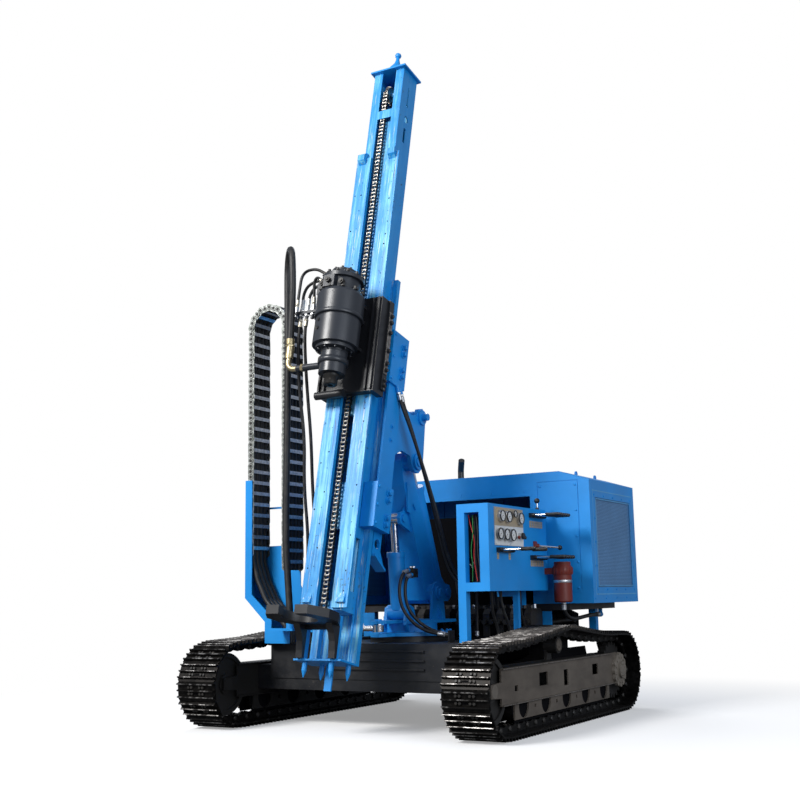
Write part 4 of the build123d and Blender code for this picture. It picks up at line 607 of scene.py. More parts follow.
def hose_chain():
    """Link plates with rings, pins and screws on both edges, and inner and outer bars between them."""
    total = CHAIN_RISE + CHAIN_BEND + CHAIN_CROWN - CHAIN_ENDS[1]
    count = int(total / CHAIN_PITCH)
    step = total / count
    half = CHAIN_DEEP / 2
    round_end = half - 0.001
    plate = []
    for a, b in circle(16, round_end):
        plate.append(((step * 0.5 if a > 0 else -step * 0.5) + 0.95 * a, b))
    build = Build(ZINC, SHADE, CHAIN_PLATE, GREASY)
    for i in range(count):
        (x, z), heading = chain_walk((i + 0.5) * step, half)
        build.at(FRONT @ Matrix.Translation((x, 0, z)) @ Matrix.Rotation(-heading, 4, "Y"))
        for near, out in ((CHAIN_NEAR, 1), (CHAIN_FAR, -1)):
            shift = 0.0 if i % 2 else 0.004
            build.use(CHAIN_PLATE).prism(plate, "y", near + out * shift, out * 0.004)
            for dx in (0.0, step * 0.5):
                for ring, look in ((0.0215, GREASY), (0.018, CHAIN_PLATE), (0.013, GREASY)):
                    proud = 0.0012 + 0.0004 * (0.0215 - ring) / 0.0043
                    build.use(look).rod((dx, near, 0), (dx, near - out * proud, 0), ring, 14, False)
            pin = step * 0.5
            build.use(GREASY).rod((pin, near - 0.001 * out, 0), (pin, near + 0.009 * out, 0), 0.011, 10)
            build.use(ZINC)
            for dx in (-0.018, 0.018):
                build.rod((dx, near - 0.0015 * out, 0.012), (dx, near + 0.006 * out, 0.012), 0.005, 6)
        for low in (half - 0.008, -half):
            build.box(-0.013, 0.013, CHAIN_NEAR + 0.006, CHAIN_FAR - 0.006, low, low + 0.008)
            build.box(-0.002, 0.002, CHAIN_NEAR + 0.006, CHAIN_FAR - 0.006, low - 0.0015, low + 0.0095)
    build.finish("hose_chain", "chassis", "zinc_steel", ["chain_loop"])


# ---------------------------------------------------------------- feed chain
ROLLER_PITCH = 0.03175
PLATE_HIGH = 0.0135


def figure_eight():
    """Outline of a chain plate as (depth, height), pinned at heights 0 and ROLLER_PITCH."""
    points = []
    for pin, way in ((0.0, -1), (ROLLER_PITCH, 1)):
        for k in range(7):
            a = math.pi * k / 6
            points.append((-way * PLATE_HIGH * math.cos(a), pin + way * PLATE_HIGH * math.sin(a)))
        points.append((way * 0.72 * PLATE_HIGH, ROLLER_PITCH / 2))
    return points


def roller_chain(name, x, depth, low, high, replaces=()):
    """Roller chain on the mast; its rollers' axes run across the mast."""
    build = Build(STEEL, GREASY)
    plate = figure_eight()
    for i in range(int((high - low) / ROLLER_PITCH)):
        build.at(MAST @ Matrix.Translation((x, depth, low + i * ROLLER_PITCH)))
        look, places = (CHAIN_STEEL, (-0.0165, 0.0135)) if i % 2 else (GREASY, (-0.021, 0.018))
        for dx in places:
            build.use(look).prism(plate, "x", dx, 0.003)
        build.use(CHAIN_STEEL).spin([(0.0095, -0.0135), (0.0095, 0.0135)], "x", 8)
        build.use(GREASY).spin([(0.0048, -0.0235), (0.0048, 0.0235)], "x", 6)
    build.finish(name, "mast", "worn_steel", replaces)


# ---------------------------------------------------------------- hoses
# Points in millimetres from the near fitting to the far one, in FRONT's frame,
# and for the head's loops in MAST's.
ROUTES = {
    "sheath_hose": [
        (-385, 224, 2692), (-376, 226, 2880), (-358, 221, 3115), (-365, 225, 3364), (-426, 292, 3455),
        (-513, 388, 3455), (-575, 455, 3364), (-577, 457, 3120), (-568, 452, 2640), (-588, 462, 1950),
        (-594, 455, 1350), (-568, 445, 1060), (-546, 434, 880), (-534, 426, 740)],
    "feed_hose_1": [
        (-335, 286, 2892), (-338, 266, 2806), (-350, 275, 2650), (-368, 310, 2380), (-362, 370, 2050),
        (-402, 415, 1700), (-374, 428, 1340), (-392, 440, 1060), (-460, 468, 880), (-512, 490, 740)],
    "feed_hose_2": [
        (-285, 286, 2892), (-287, 268, 2808), (-298, 285, 2650), (-312, 330, 2380), (-330, 405, 2040),
        (-352, 450, 1680), (-330, 462, 1330), (-350, 480, 1060), (-430, 512, 880), (-510, 534, 740)],
    "carrier_hose_1": [
        (248, 714, 2347), (254, 740, 2265), (270, 815, 2110), (290, 935, 1830), (315, 1030, 1560),
        (338, 1095, 1330), (362, 1125, 1160), (410, 1150, 1030), (480, 1165, 975), (548, 1166, 961),
        (604, 1165, 960)],
    "carrier_hose_2": [
        (248, 677, 2356), (259, 694, 2270), (286, 765, 2115), (320, 890, 1830), (350, 1000, 1555),
        (374, 1075, 1315), (398, 1115, 1145), (440, 1165, 1030), (500, 1204, 974), (552, 1206, 961),
        (604, 1205, 960)],
    "valve_hose_1": [
        (128, 970, 1088), (126, 922, 1078), (120, 878, 1025), (118, 858, 935), (135, 858, 835),
        (186, 876, 745), (262, 903, 678), (350, 932, 642), (440, 950, 630)],
    "valve_hose_2": [
        (152, 970, 1055), (151, 928, 1046), (150, 898, 1000), (152, 885, 922), (168, 884, 838),
        (208, 900, 762), (272, 925, 698), (352, 962, 650), (440, 985, 630)],
    "return_hose": [
        (1008, 1772, 840), (1008, 1776, 790), (1011, 1805, 748), (1016, 1862, 722), (1021, 1955, 714),
        (1016, 2095, 722), (1002, 2290, 733), (970, 2460, 735), (968, 2600, 735)],
    "head_loop_1": [
        (-385, -240, 2511), (-385, -240, 2640), (-375, -250, 2790), (-250, -260, 2800),
        (-160, -250, 2745), (-118, -245, 2716)],
    "head_loop_2": [
        (-235, -240, 2511), (-236, -250, 2580), (-232, -280, 2680), (-190, -300, 2700),
        (-140, -310, 2650), (-118, -300, 2622)],
    "bay_hose_1": [
        (250, 2008, 1210), (250, 1890, 1330), (300, 1740, 1290), (350, 1640, 1020), (360, 1620, 800),
        (360, 1610, 580)],
    "bay_hose_2": [
        (150, 2008, 1120), (150, 1860, 1240), (240, 1700, 1180), (290, 1600, 960), (300, 1590, 780),
        (300, 1590, 580)],
    "bay_hose_3": [
        (400, 2008, 1180), (400, 1880, 1270), (470, 1760, 1200), (500, 1700, 960), (500, 1700, 780),
        (500, 1700, 580)],
    "bay_hose_4": [
        (330, 2008, 980), (330, 1860, 1060), (420, 1780, 980), (440, 1760, 860), (440, 1760, 760),
        (440, 1760, 580)],
    "bay_hose_5": [
        (60, 2008, 1010), (60, 1860, 1060), (120, 1760, 960), (180, 1700, 820), (200, 1690, 740),
        (200, 1690, 580)],
    "bay_hose_6": [
        (460, 2008, 940), (470, 1900, 960), (560, 1860, 880), (580, 1850, 780), (580, 1850, 730),
        (580, 1850, 580)],
}
HOSES = {
    # beginning of the name: frame, radius, body, stiffness, look of the fittings, body at a moving far end
    "sheath_hose": (FRONT, 0.025, "head_carriage", "medium", BRASS, "mast"),
    "feed_hose": (FRONT, 0.012, "head_carriage", "medium", CREAM, "mast"),
    "carrier_hose": (FRONT, 0.012, "mast_carrier", "medium", ZINC, "boom"),
    "valve_hose": (FRONT, 0.012, "lift_barrel", "limp", ZINC, "swing_table"),
    "return_hose": (FRONT, 0.015, "chassis", "medium", ZINC, None),
    "head_loop": (MAST, 0.011, "head_carriage", "medium", CREAM, None),
    "bay_hose": (FRONT, 0.013, "chassis", "medium", ZINC, None),
}


def route_line(points):
    """Points read from the smooth line that has the route as its control points."""
    data = bpy.data.curves.new("route", "CURVE")
    data.dimensions = "3D"
    data.resolution_u = 12
    line = data.splines.new("NURBS")
    line.points.add(len(points) - 1)
    for spot, p in zip(line.points, points):
        spot.co = (*p, 1)
    line.order_u = 3
    line.use_endpoint_u = True
    item = bpy.data.objects.new("route", data)
    bpy.context.scene.collection.objects.link(item)
    mesh = bpy.data.meshes.new_from_object(item)
    path = [v.co.copy() for v in mesh.vertices]
    bpy.data.objects.remove(item)
    return path


def ferrules(build, path, radius, length=0.055):
    """Crimped sleeve over each end of a hose, with its hexagon nut."""
    for ends in (path, path[::-1]):
        tip = ends[0]
        way = (ends[1] - ends[0]).normalized() * length
        parts = [(0, 0.2, 1.35, 6, False), (0.2, 0.3, 0.95, 12, True), (0.3, 1, 1.28, 16, True)]
        parts += [(0.45 + 0.2 * k, 0.51 + 0.2 * k, 1.36, 16, True) for k in range(3)]
        for start, end, wide, sides, smooth in parts:
            build.rod(tip + way * start, tip + way * end, radius * wide, sides, smooth)


def hose(name, points, radius, body, stiffness, look, bend):
    """Free hose along its route, with its fittings; bend names the body that holds its far end."""
    path = route_line(points)
    rider = None if bend else body
    build = Build(RUBBER).at(Matrix.Identity(4))
    build.tube(path, radius, 16)
    line = build.finish(name + "_line", rider, "hose_rubber", [name] if name in NODES else ())
    build = Build(look).at(Matrix.Identity(4))
    ferrules(build, path, radius)
    ends = build.finish(name + "_fittings", rider, "zinc_steel")
    if bend:
        for item in (line, ends):
            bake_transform(item)


def hoses():
    for name, route in ROUTES.items():
        home, *rest = next(row for start, row in HOSES.items() if name.startswith(start))
        hose(name, [home @ (Vector(p) / 1000) for p in route], *rest)


# ---------------------------------------------------------------- mast and head details
def plug_welds():
    """Small dark plug welds down the rail faces and along the box."""
    build = Build(SHADE)
    random.seed(4)
    behind_carriage = (1.85, 2.62)
    rows = ((-0.112, 0.5, 3.8, 0.145), (0.15, 0.46, 3.82, 0.118), (-0.17, 0.62, 3.7, 0.31))
    for x, low, high, step in rows:
        z = low
        while z < high:
            if not behind_carriage[0] < z < behind_carriage[1]:
                build.at(MAST @ Matrix.Translation((x + random.uniform(-0.006, 0.006), 0, z)))
                build.spin([(random.uniform(0.003, 0.0065), -0.0008), (0.002, -0.0014)], "y", 8)
            z += step * random.uniform(0.6, 1.35)
    build.finish("plug_welds", "mast", "blue_paint")


def clamp_bolts():
    """Bolts and shims of the carrier's two clamps, and the bolts between them."""
    build = Build(BLUE).at(MAST)
    for side in SIDES:
        for low, high in ((0.93, 1.25), (2.0, 2.4)):
            middle = (low + high) / 2
            for z in (low + 0.03, middle, high - 0.03):
                build.side_bolt((side * 0.252, 0.135, z), side, 0.011, 0.012)
            for dz in (-0.115, -0.062, 0.062, 0.115):
                build.side_bolt((side * 0.252, 0.262, middle + dz), side, 0.019, 0.03)
            build.box(side * 0.2515, side * 0.2545, 0.115, 0.165, low + 0.006, high - 0.006)
        for z in (1.0, 1.6, 1.7):
            build.side_bolt((side * 0.232, 0.25, z), side, 0.012, 0.014)
    build.finish("clamp_bolts", "mast_carrier", "blue_paint", bevel=0.001)


def carriage_strips():
    """Wear strips on the carriage's sides, with their bolts."""
    build = Build(STEEL, BLACK).at(MAST)
    strips = [
        # thickness, y, z, then the bolts' y, heights, radius and head height
        (0.006, (0.028, 0.07), (2.02, 2.5), 0.049, (2.05, 2.1, 2.2, 2.34, 2.42, 2.47), 0.013, 0.02),
        (0.004, (0.046, 0.062), (1.905, 1.99), 0.054, (1.93, 1.97), 0.01, 0.014),
    ]
    for side in SIDES:
        for thick, across, up, y, heights, radius, head in strips:
            x = side * 0.2505
            build.use(STEEL).box(x, x + side * thick, *across, *up)
            build.use(BLACK)
            for z in heights:
                build.side_bolt((x + side * thick, y, z), side, radius, head)
    build.finish("carriage_strips", "head_carriage", "worn_steel", bevel=0.0008)


def head_fittings():
    """Cap and flange bolts, hose nipples, plugs, beads and the domed cap of the power head."""
    build = Build(BLACK, ZINC, GREASY, GLOSS_BLACK).at(HEAD)
    build.use(GREASY)
    for count, radius, z, size, height in (
            (10, 0.152, 2.546, 0.013, 0.03), (12, 0.139, 2.6725, 0.012, 0.024),
            (8, 0.076, 2.7305, 0.01, 0.016)):
        for x, y in circle(count, radius, 0.5):
            build.bolt((x, y, z), "z", size, height)
    build.use(ZINC)
    for x in (-0.385, -0.335, -0.285, -0.235):
        for z, way in ((2.4625, 1), (2.4395, -1)):
            build.spin([(0.019, z), (0.019, z + way * 0.014)], "z", 6, (x, 0, 0), False)
        build.spin([(0.015, 2.478), (0.015, 2.509)], "z", 12, (x, 0, 0))
    for x in (-0.335, -0.285):
        build.spin([(0.0145, 2.512), (0.0145, 2.56)], "z", 12, (x, 0, 0))
    for spot in ((0, 0, 2.7), (0, 0.035, 2.686)):
        build.spin([(0.0155, -0.19), (0.0155, -0.15)], "x", 12, spot)
        build.spin([(0.018, -0.148), (0.018, -0.134)], "x", 6, spot, False)
    build.use(GREASY)
    for x, y, z in ((-0.015, -0.16, 2.596), (-0.092, -0.118, 2.6), (0.08, -0.126, 2.585)):
        build.rod((x, y + 0.012, z), (x, y - 0.022, z), 0.02, 16)
        build.rod((x, y - 0.022, z), (x, y - 0.03, z), 0.012, 6, False)
    x, y = 0.16 * math.cos(-1.95), 0.16 * math.sin(-1.95)  # on the head's side, towards the front
    for z in (2.3, 2.235):
        build.rod((x, y, z), (x * 1.07, y * 1.07, z), 0.013, 14)
    build.use(GLOSS_BLACK).spin([(0.06, 2.729), (0.056, 2.744), (0.04, 2.756), (0.016, 2.762)], "z", 28)
    build.spin([(0.1735, 2.349), (0.1765, 2.353), (0.1765, 2.372), (0.1735, 2.376)], "z", 48)
    build.spin([(0.1005, 2.0), (0.109, 2.004), (0.109, 2.04), (0.1005, 2.044)], "z", 36)
    build.finish("head_fittings", "head_carriage", "black_paint")


def spindle_end():
    """Open socket that turns under the power head."""
    build = Build(GREASY, SHADE).at(HEAD)
    rows = [(0.02, 1.852), (0.04, 1.852), (0.047, 1.86), (0.047, 1.905), (0.058, 1.909), (0.058, 1.929)]
    build.spin(rows, "z", 32)
    # painted shade: near-black disc inside the socket's bore
    build.use(SHADE).spin([(0.0195, 1.8515), (0.004, 1.8525)], "z", 24)
    build.finish("spindle_end", "drive_spindle", "worn_steel", ["spindle"])


def brass_elbow():
    """Skin of the brass flushing elbow, with its nut and its collar."""
    build = Build(BRASS).at(MAST)
    y, low, bend = -0.25, 2.01, 0.06
    path = [(-0.252, y, low)]
    for i in range(9):
        a = math.pi / 2 * i / 8
        path.append((-0.325 - bend * math.sin(a), y, low + bend * (1 - math.cos(a))))
    build.tube(path + [(-0.385, y, 2.1)], 0.0205, 16)
    build.spin([(0.028, -0.262), (0.028, -0.24)], "x", 6, (0, y, low), False)
    build.spin([(0.0285, 2.096), (0.0285, 2.112), (0.03, 2.116), (0.03, 2.186)], "z", 20, (-0.385, y, 0))
    build.finish("brass_elbow", "head_carriage", "worn_steel")


# ---------------------------------------------------------------- console details
BOARD = 0.004  # the gauge boards' back, out from the console's face
GLASS = 0.0325  # the dials' face, out from the console's face
BOARD_Y = (0.092, 0.568)
DIGITS = {
    # strokes of a plain numeral on a 2 by 4 grid
    0: [[(0, 0), (2, 0), (2, 4), (0, 4), (0, 0)]],
    2: [[(0, 4), (2, 4), (2, 2), (0, 2), (0, 0), (2, 0)]],
    4: [[(0, 4), (0, 2), (2, 2)], [(2, 4), (2, 0)]],
    6: [[(2, 4), (0, 4), (0, 0), (2, 0), (2, 2), (0, 2)]],
}
DIALS = [
    # y, z, radius, needle's angle in degrees
    (0.172, -0.082, 0.04, 210), (0.282, -0.084, 0.04, 225), (0.486, -0.088, 0.042, 200),
    (0.132, -0.208, 0.04, 225), (0.236, -0.21, 0.04, 220), (0.34, -0.212, 0.042, 215),
    (0.384, -0.06, 0.026, 230),
]


def dial(build, y, z, radius, turn):
    """Round gauge: dark bezel, white face, ticks, plain numbers and needle."""
    def spot(out, share, degrees):
        a = math.radians(degrees)
        return (GLASS + out, y + share * math.cos(a), z + share * math.sin(a))

    bezel = [(0, -0.004), (0.0015, 0.002), (-0.001, 0.006), (-0.005, 0.005), (-0.006, 0.0005)]
    build.use(BLACK).spin([(radius + r, GLASS + h) for r, h in bezel], "x", 28, (0, y, z))
    face = [(radius - 0.005, GLASS - 0.001), (radius - 0.005, GLASS + 0.001)]
    build.use(WHITE).spin(face, "x", 28, (0, y, z), False)
    build.use(SHADE)
    for i in range(25):
        inner = 0.66 if i % 6 == 0 else 0.74
        degrees = 225 - i * 270 / 24
        build.rod(spot(0.0012, radius * inner, degrees), spot(0.0012, radius * 0.82, degrees), 0.0005, 4)
    high = radius * 0.18
    for i, strokes in enumerate(DIGITS.values()):
        x, across, up = spot(0.0012, radius * 0.48, 225 - 90 * i)
        for stroke in strokes:
            line = [(x, across + (a - 1) * high / 4, up + (b - 2) * high / 4) for a, b in stroke]
            for p, q in zip(line, line[1:]):
                build.rod(p, q, high * 0.07, 4)
    build.use(RED).tube([spot(0.002, -0.006, turn), spot(0.002, radius * 0.66, turn)], 0.001, 6, tip=0.0004)
    build.use(SHADE).spin([(0.0035, GLASS + 0.001), (0.0035, GLASS + 0.0035)], "x", 12, (0, y, z))


def gauge_faces():
    """Two boards with seven dials, a knob, two valves and screws."""
    build = Build(TAN, WHITE, BLACK, SHADE, RED, ZINC).at(CONSOLE)
    front = BOARD + 0.0015
    build.use(TAN).box(BOARD, front, *BOARD_Y, -0.15, -0.022)
    build.use(WHITE).box(BOARD, front, *BOARD_Y, -0.286, -0.151)
    for y, z, radius, turn in DIALS:
        dial(build, y, z, radius, turn)
    y, z = 0.494, -0.214
    knob = [(0.024, BOARD + 0.028), (0.024, BOARD + 0.04), (0.018, BOARD + 0.044)]
    build.use(BLACK).spin(knob, "x", 10, (0, y, z), False)
    for dy, look in ((-0.052, RED), (0.052, BLACK)):
        spot = (0, y + dy, z - 0.01)
        stem = [(0.009, BOARD), (0.009, BOARD + 0.012), (0.005, BOARD + 0.02)]
        build.use(ZINC).spin(stem, "x", 12, spot)
        cap = [(0.012, BOARD + 0.019), (0.013, BOARD + 0.03), (0.008, BOARD + 0.034)]
        build.use(look).spin(cap, "x", 12, spot)
    build.use(ZINC)
    screw = [(0.005, BOARD + 0.001), (0.005, BOARD + 0.004), (0.003, BOARD + 0.005)]
    for z in (-0.032, -0.276):
        for y in (BOARD_Y[0] + 0.012, sum(BOARD_Y) / 2, BOARD_Y[1] - 0.012):
            build.spin(screw, "x", 10, (0, y, z))
    build.finish("gauge_faces", "chassis", "zinc_steel")


def lever(build, y, z, reach):
    """Chrome lever with its cap and its ribbed grip, reach out from the console."""
    build.use(BLACK).spin([(0.015, 0.024), (0.017, 0.036), (0.01, 0.046)], "x", 14, (0, y, z))
    build.use(CHROME).rod((0.04, y, z), (reach - 0.105, y, z), 0.007, 12)
    rows = [(0.01, reach - 0.112)]
    ribs = 9
    for k in range(ribs):
        h = reach - 0.108 + 0.1 * k / ribs
        rows += [(0.0135, h), (0.014, h + 0.006), (0.0118, h + 0.0075), (0.0118, h + 0.01)]
    rows += [(0.014, reach - 0.007), (0.01, reach)]
    build.use(GRIP).spin(rows, "x", 14, (0, y, z))


def lever_set():
    """Three banks of levers on their valve caps, with a row of ruled plates each, and the ball lever."""
    build = Build(CHROME, GRIP, BLACK).at(CONSOLE)
    banks = [
        # y and z of the first lever, count, pitch, reach, the plates' low and high edges from z
        (0.14, -0.32, 2, 0.19, 0.29, (-0.065, -0.02)),
        (0.71, -0.052, 6, 0.04, 0.235, (-0.09, -0.04)),
        (0.71, -0.362, 6, 0.04, 0.26, (-0.065, -0.02)),
    ]
    for first, z, count, pitch, reach, plate in banks:
        last = first + (count - 1) * pitch
        build.use(BLACK).box(0, 0.026, first - 0.022, last + 0.022, z - 0.016, z + 0.016)
        low, high = (z + edge for edge in plate)
        for y in [first + i * pitch for i in range(count)]:
            lever(build, y, z, reach)
            build.use(TAN).box(0, 0.0015, y - 0.016, y + 0.016, low, high)
            build.use(SHADE)
            for share in (0.33, 0.66):
                h = low + (high - low) * share
                build.box(0.0012, 0.0018, y - 0.013, y + 0.013, h - 0.0006, h + 0.0006)
    x, y, radius = -0.04, 0.94, 0.021
    build.use(CHROME).rod((x, y, 0), (x, y, 0.058), 0.0065, 12)
    build.use(GRIP).spin([(0.012, 0), (0.015, 0.012), (0.009, 0.022)], "z", 14, (x, y, 0))
    turns = [math.pi * (k + 0.3) / 10 for k in range(10)]
    build.spin([(radius * math.sin(a), 0.072 - radius * math.cos(a)) for a in turns], "z", 20, (x, y, 0))
    build.finish("lever_set", "chassis", "black_paint", ["levers"])


def wires():
    """Thin control wires clipped behind the console's front window."""
    build = Build(RED_WIRE, GREEN_WIRE, RUBBER).at(FRONT @ Matrix.Translation((0.7, 0.846, 0)))
    runs = [
        (RED_WIRE, 0.003, [
            (0, 0, 1.46), (0.02, -0.01, 1.38), (0.05, -0.005, 1.28), (0.03, 0, 1.15), (0.06, 0, 1.0)]),
        (GREEN_WIRE, 0.0025, [
            (0.03, 0, 1.46), (0.045, -0.012, 1.34), (0.015, -0.01, 1.22), (0.03, -0.004, 1.1),
            (0.02, 0, 0.998)]),
        (RUBBER, 0.006, [
            (0.06, 0, 1.465), (0.075, -0.004, 1.35), (0.07, -0.01, 1.2), (0.085, -0.006, 1.08),
            (0.075, 0, 0.995)]),
        (RUBBER, 0.008, [
            (0.035, 0.02, 1.465), (0.045, 0.02, 1.33), (0.035, 0.02, 1.18), (0.05, 0.02, 1.07),
            (0.045, 0.02, 0.995)]),
    ]
    for look, radius, points in runs:
        build.use(look).tube(route_line(points), radius, 8)
    build.finish("console_wires", "chassis", "hose_rubber")


# ---------------------------------------------------------------- chassis and engine house details
HOUSE_X = 1.2
HOUSE_FRONT = 1.9


def grille_edges(build, side, y0, y1, z0, z1):
    """Two frames of painted highlight along the edges, inside and outside the grille's screws."""
    wide = 0.0035
    for grow in (-0.028, 0.034):
        a, b, low, high = y0 - grow, y1 + grow, z0 - grow, z1 + grow
        bars = [(a, b, z - wide, z + wide) for z in (low, high)]
        bars += [(y - wide, y + wide, low, high) for y in (a, b)]
        for bar in bars:
            build.box(side * HOUSE_X, side * (HOUSE_X + 0.0012), *bar)


def hood_screws():
    """Screws round the side grilles, along the eaves and round the access cover."""
    build = Build(BLUE, HIGHLIGHT_EDGE_BLUE)
    y0, y1, z0, z1 = HOUSE_FRONT + 0.095, HOUSE_FRONT + 0.92, 0.93, 1.65
    quarters = [k / 4 for k in range(5)]
    spots = [(y0 + (y1 - y0) * k, z) for k in quarters for z in (z0, z1)]
    spots += [(y, z0 + (z1 - z0) * k) for k in quarters[1:4] for y in (y0, y1)]
    spots += [(1.94 + 0.23 * k, 0.865) for k in range(5)]
    for side in SIDES:
        build.use(BLUE)
        for y, z in spots:
            build.side_bolt((side * HOUSE_X, y, z), side, 0.0065, 0.004)
        grille_edges(build.use(HIGHLIGHT_EDGE_BLUE), side, y0, y1, z0, z1)
    build.use(BLUE)
    cover_screw = [(0.009, 0), (0.009, -0.004), (0.006, -0.006)]
    eaves_screw = [(0.007, 0), (0.007, -0.003), (0.005, -0.0045)]
    for k in quarters:
        for x in (0.795, 1.086):
            build.spin(cover_screw, "y", 12, (x, HOUSE_FRONT, 0.945 + (1.73 - 0.945) * k))
    for k in range(7):
        build.spin(eaves_screw, "y", 12, (-1.02 + 0.28 * k, HOUSE_FRONT, 1.7))
    build.finish("hood_screws", "chassis", "blue_paint")


def drive_bolts():
    """Bolts round the final drives' covers."""
    build = Build(HUB)
    for side in SIDES:
        for count, ring, x, radius, height in (
                (12, 0.098, 1.1565, 0.009, 0.008), (8, 0.046, 1.1765, 0.005, 0.005)):
            for y, z in circle(count, ring, 0.5):
                build.side_bolt((side * x, SPROCKET_Y + y, WHEEL_Z + z), side, radius, height)
    build.finish("drive_bolts", "chassis", "frame_steel")


def valve_block():
    """Bronze-brown skin of the boom cylinder's valve block, with its plugs and screws."""
    build = Build(BRONZE, ZINC, GREASY)
    x0, x1, y0, y1, z0, z1 = 0.112, 0.168, 0.985, 1.05, 1.035, 1.108
    skin = 0.0012
    outline = chamfered(x0 - skin, x1 + skin, z0 - skin, z1 + skin, 0.006, 0.006)
    build.prism(outline, "y", y0 - skin, y1 - y0 + 2 * skin)
    build.use(ZINC)
    for share in (0.3, 0.7):
        x, y, z = x0 + (x1 - x0) * share, (y0 + y1) / 2, z0 + (z1 - z0) * (1 - share)
        build.rod((x, y, z1), (x, y, z1 + 0.012), 0.011, 6, False)
        build.rod((x, y0, z), (x, y0 - 0.009, z), 0.008, 12)
    build.use(GREASY)
    for x in (x0 + 0.01, x1 - 0.01):
        for z in (z0 + 0.01, z1 - 0.01):
            build.rod((x, y0 - skin, z), (x, y0 - 0.005, z), 0.0045, 10)
    build.finish("valve_block_skin", "lift_barrel", "worn_steel")


def ring_bolts():
    """Bolts of the bearing ring, apart from the middle of its front."""
    build = Build(BLUE)
    ring = 0.308
    for x, y in circle(24, ring, 0.5):
        if y > -0.25 * ring or abs(x) > 0.5 * ring:
            build.bolt((x, 1.2 + y, 0.6465), "z", 0.01, 0.013)
    build.finish("ring_bolts", "swing_table", "blue_paint")


def canister_cap():
    """Ribbed red-brown cap of the return filter and its clamp band."""
    build = Build(RED, ZINC)
    x, y = 1.008, 1.772  # the canister's axis
    rows = [(0.0695, 1.042), (0.076, 1.048), (0.076, 1.098), (0.064, 1.112), (0.062, 1.139)]
    build.spin(rows, "z", 28, (x, y, 0))
    for a, b in circle(18, 0.0765):
        build.rod((x + a, y + b, 1.05), (x + a, y + b, 1.096), 0.0028, 6)
    band = [(0.0688, 0.985), (0.07, 0.987), (0.07, 1.003), (0.0688, 1.005)]
    build.use(ZINC).spin(band, "z", 28, (x, y, 0))
    build.finish("canister_cap", "chassis", "primer_paint")


def ball_lever():
    """Long lever with a black ball behind the console, on its red root."""
    build = Build(RED, CHROME, GRIP)
    root, knob, radius = Vector((0.878, 1.59, 1.26)), Vector((1.0, 1.76, 1.246)), 0.0185
    foot = [(1.54, 1.225), (1.605, 1.225), (1.615, 1.262), (1.595, 1.292), (1.54, 1.292)]
    build.prism(foot, "x", 0.835, 0.05)
    build.rod(root - (knob - root) * 0.1, root + (knob - root) * 0.12, 0.016, 14)
    build.use(CHROME).rod(root, knob, 0.0075, 14)
    turns = [math.pi * k / 10 for k in range(11)]
    ball = [(radius * math.sin(a) + 0.0004, -radius * math.cos(a)) for a in turns]
    build.use(GRIP).spin(ball, "z", 20, knob)
    build.finish("ball_lever", "chassis", "black_paint")


def engine_sump():
    """Dark pan, pump and pipes under the engine, seen between the legs of the engine house; the pan, its
    ribs and the belly under the deck are near-black painted shade.
    """
    build = Build(SHADE, GREASY)
    y0, y1 = 1.985, 2.83
    outline = mirrored([(0.62, DECK_TOP + 0.012), (0.7, DECK_TOP + 0.05), (0.7, 0.74), (0.62, 0.775)])
    build.prism(outline, "y", y0, y1 - y0)
    for i in range(5):
        rib = [(x * 1.02, z) for x, z in outline[:5] + outline[-1:]]
        build.prism(rib, "y", y0 + 0.06 + 0.15 * i, 0.018)
    # painted shade: a dark belly below the deck, between the tracks
    belly = mirrored([(0.52, 0.4), (0.6, 0.44), (0.6, DECK_TOP + 0.013)])
    build.prism(belly, "y", 1.3, 1.4)
    build.use(GREASY)
    for z, radius in ((DECK_TOP + 0.045, 0.026), (DECK_TOP + 0.105, 0.018)):
        path = [(0.71, y0 + 0.1, z), (0.725, y0 + 0.2, z), (0.725, y1 - 0.2, z + 0.01), (0.71, y1 - 0.12, z)]
        build.tube(path, radius, 12)
    x, z = 0.3, 0.745
    build.rod((x, y0 - 0.1, z), (x, y0 + 0.02, z), 0.062, 24)
    build.rod((x, y0 - 0.13, z), (x, y0 - 0.1, z), 0.038, 16)
    build.finish("engine_sump", "chassis", "black_paint")


def valve_bank():
    """Sectioned control valve on the deck in front of the engine, with its caps, rods and ports."""
    build = Build(SHADE, GREASY, ZINC)
    low, high = DECK_TOP + 0.002, 0.8
    front, back = 1.66, 1.86
    for i in range(19):
        left = -0.3 + 0.0575 * i
        x = left + 0.028
        # every other section, set back, in near-black painted shade between the proud ones
        look, deep = (SHADE, 0.0) if i % 2 else (GREASY, 0.008)
        section = [(front - deep, low), (back + deep, low), (back + deep, high - 0.03), (back - 0.03, high),
                   (front + 0.03, high), (front - deep, high - 0.04)]
        build.use(look).prism(section, "x", left, 0.056)
        build.use(GREASY).rod((x, front - deep - 0.045, 0.7), (x, front - deep + 0.01, 0.7), 0.019, 14)
        build.rod((x, front + 0.07, high - 0.01), (x, front + 0.07, high + 0.022), 0.017, 6, False)
        if i % 3 == 0:
            y = front + 0.13
            build.use(ZINC).rod((x, y, high - 0.01), (x, y, high + 0.03), 0.013, 6, False)
    build.finish("valve_bank", "chassis", "black_paint")


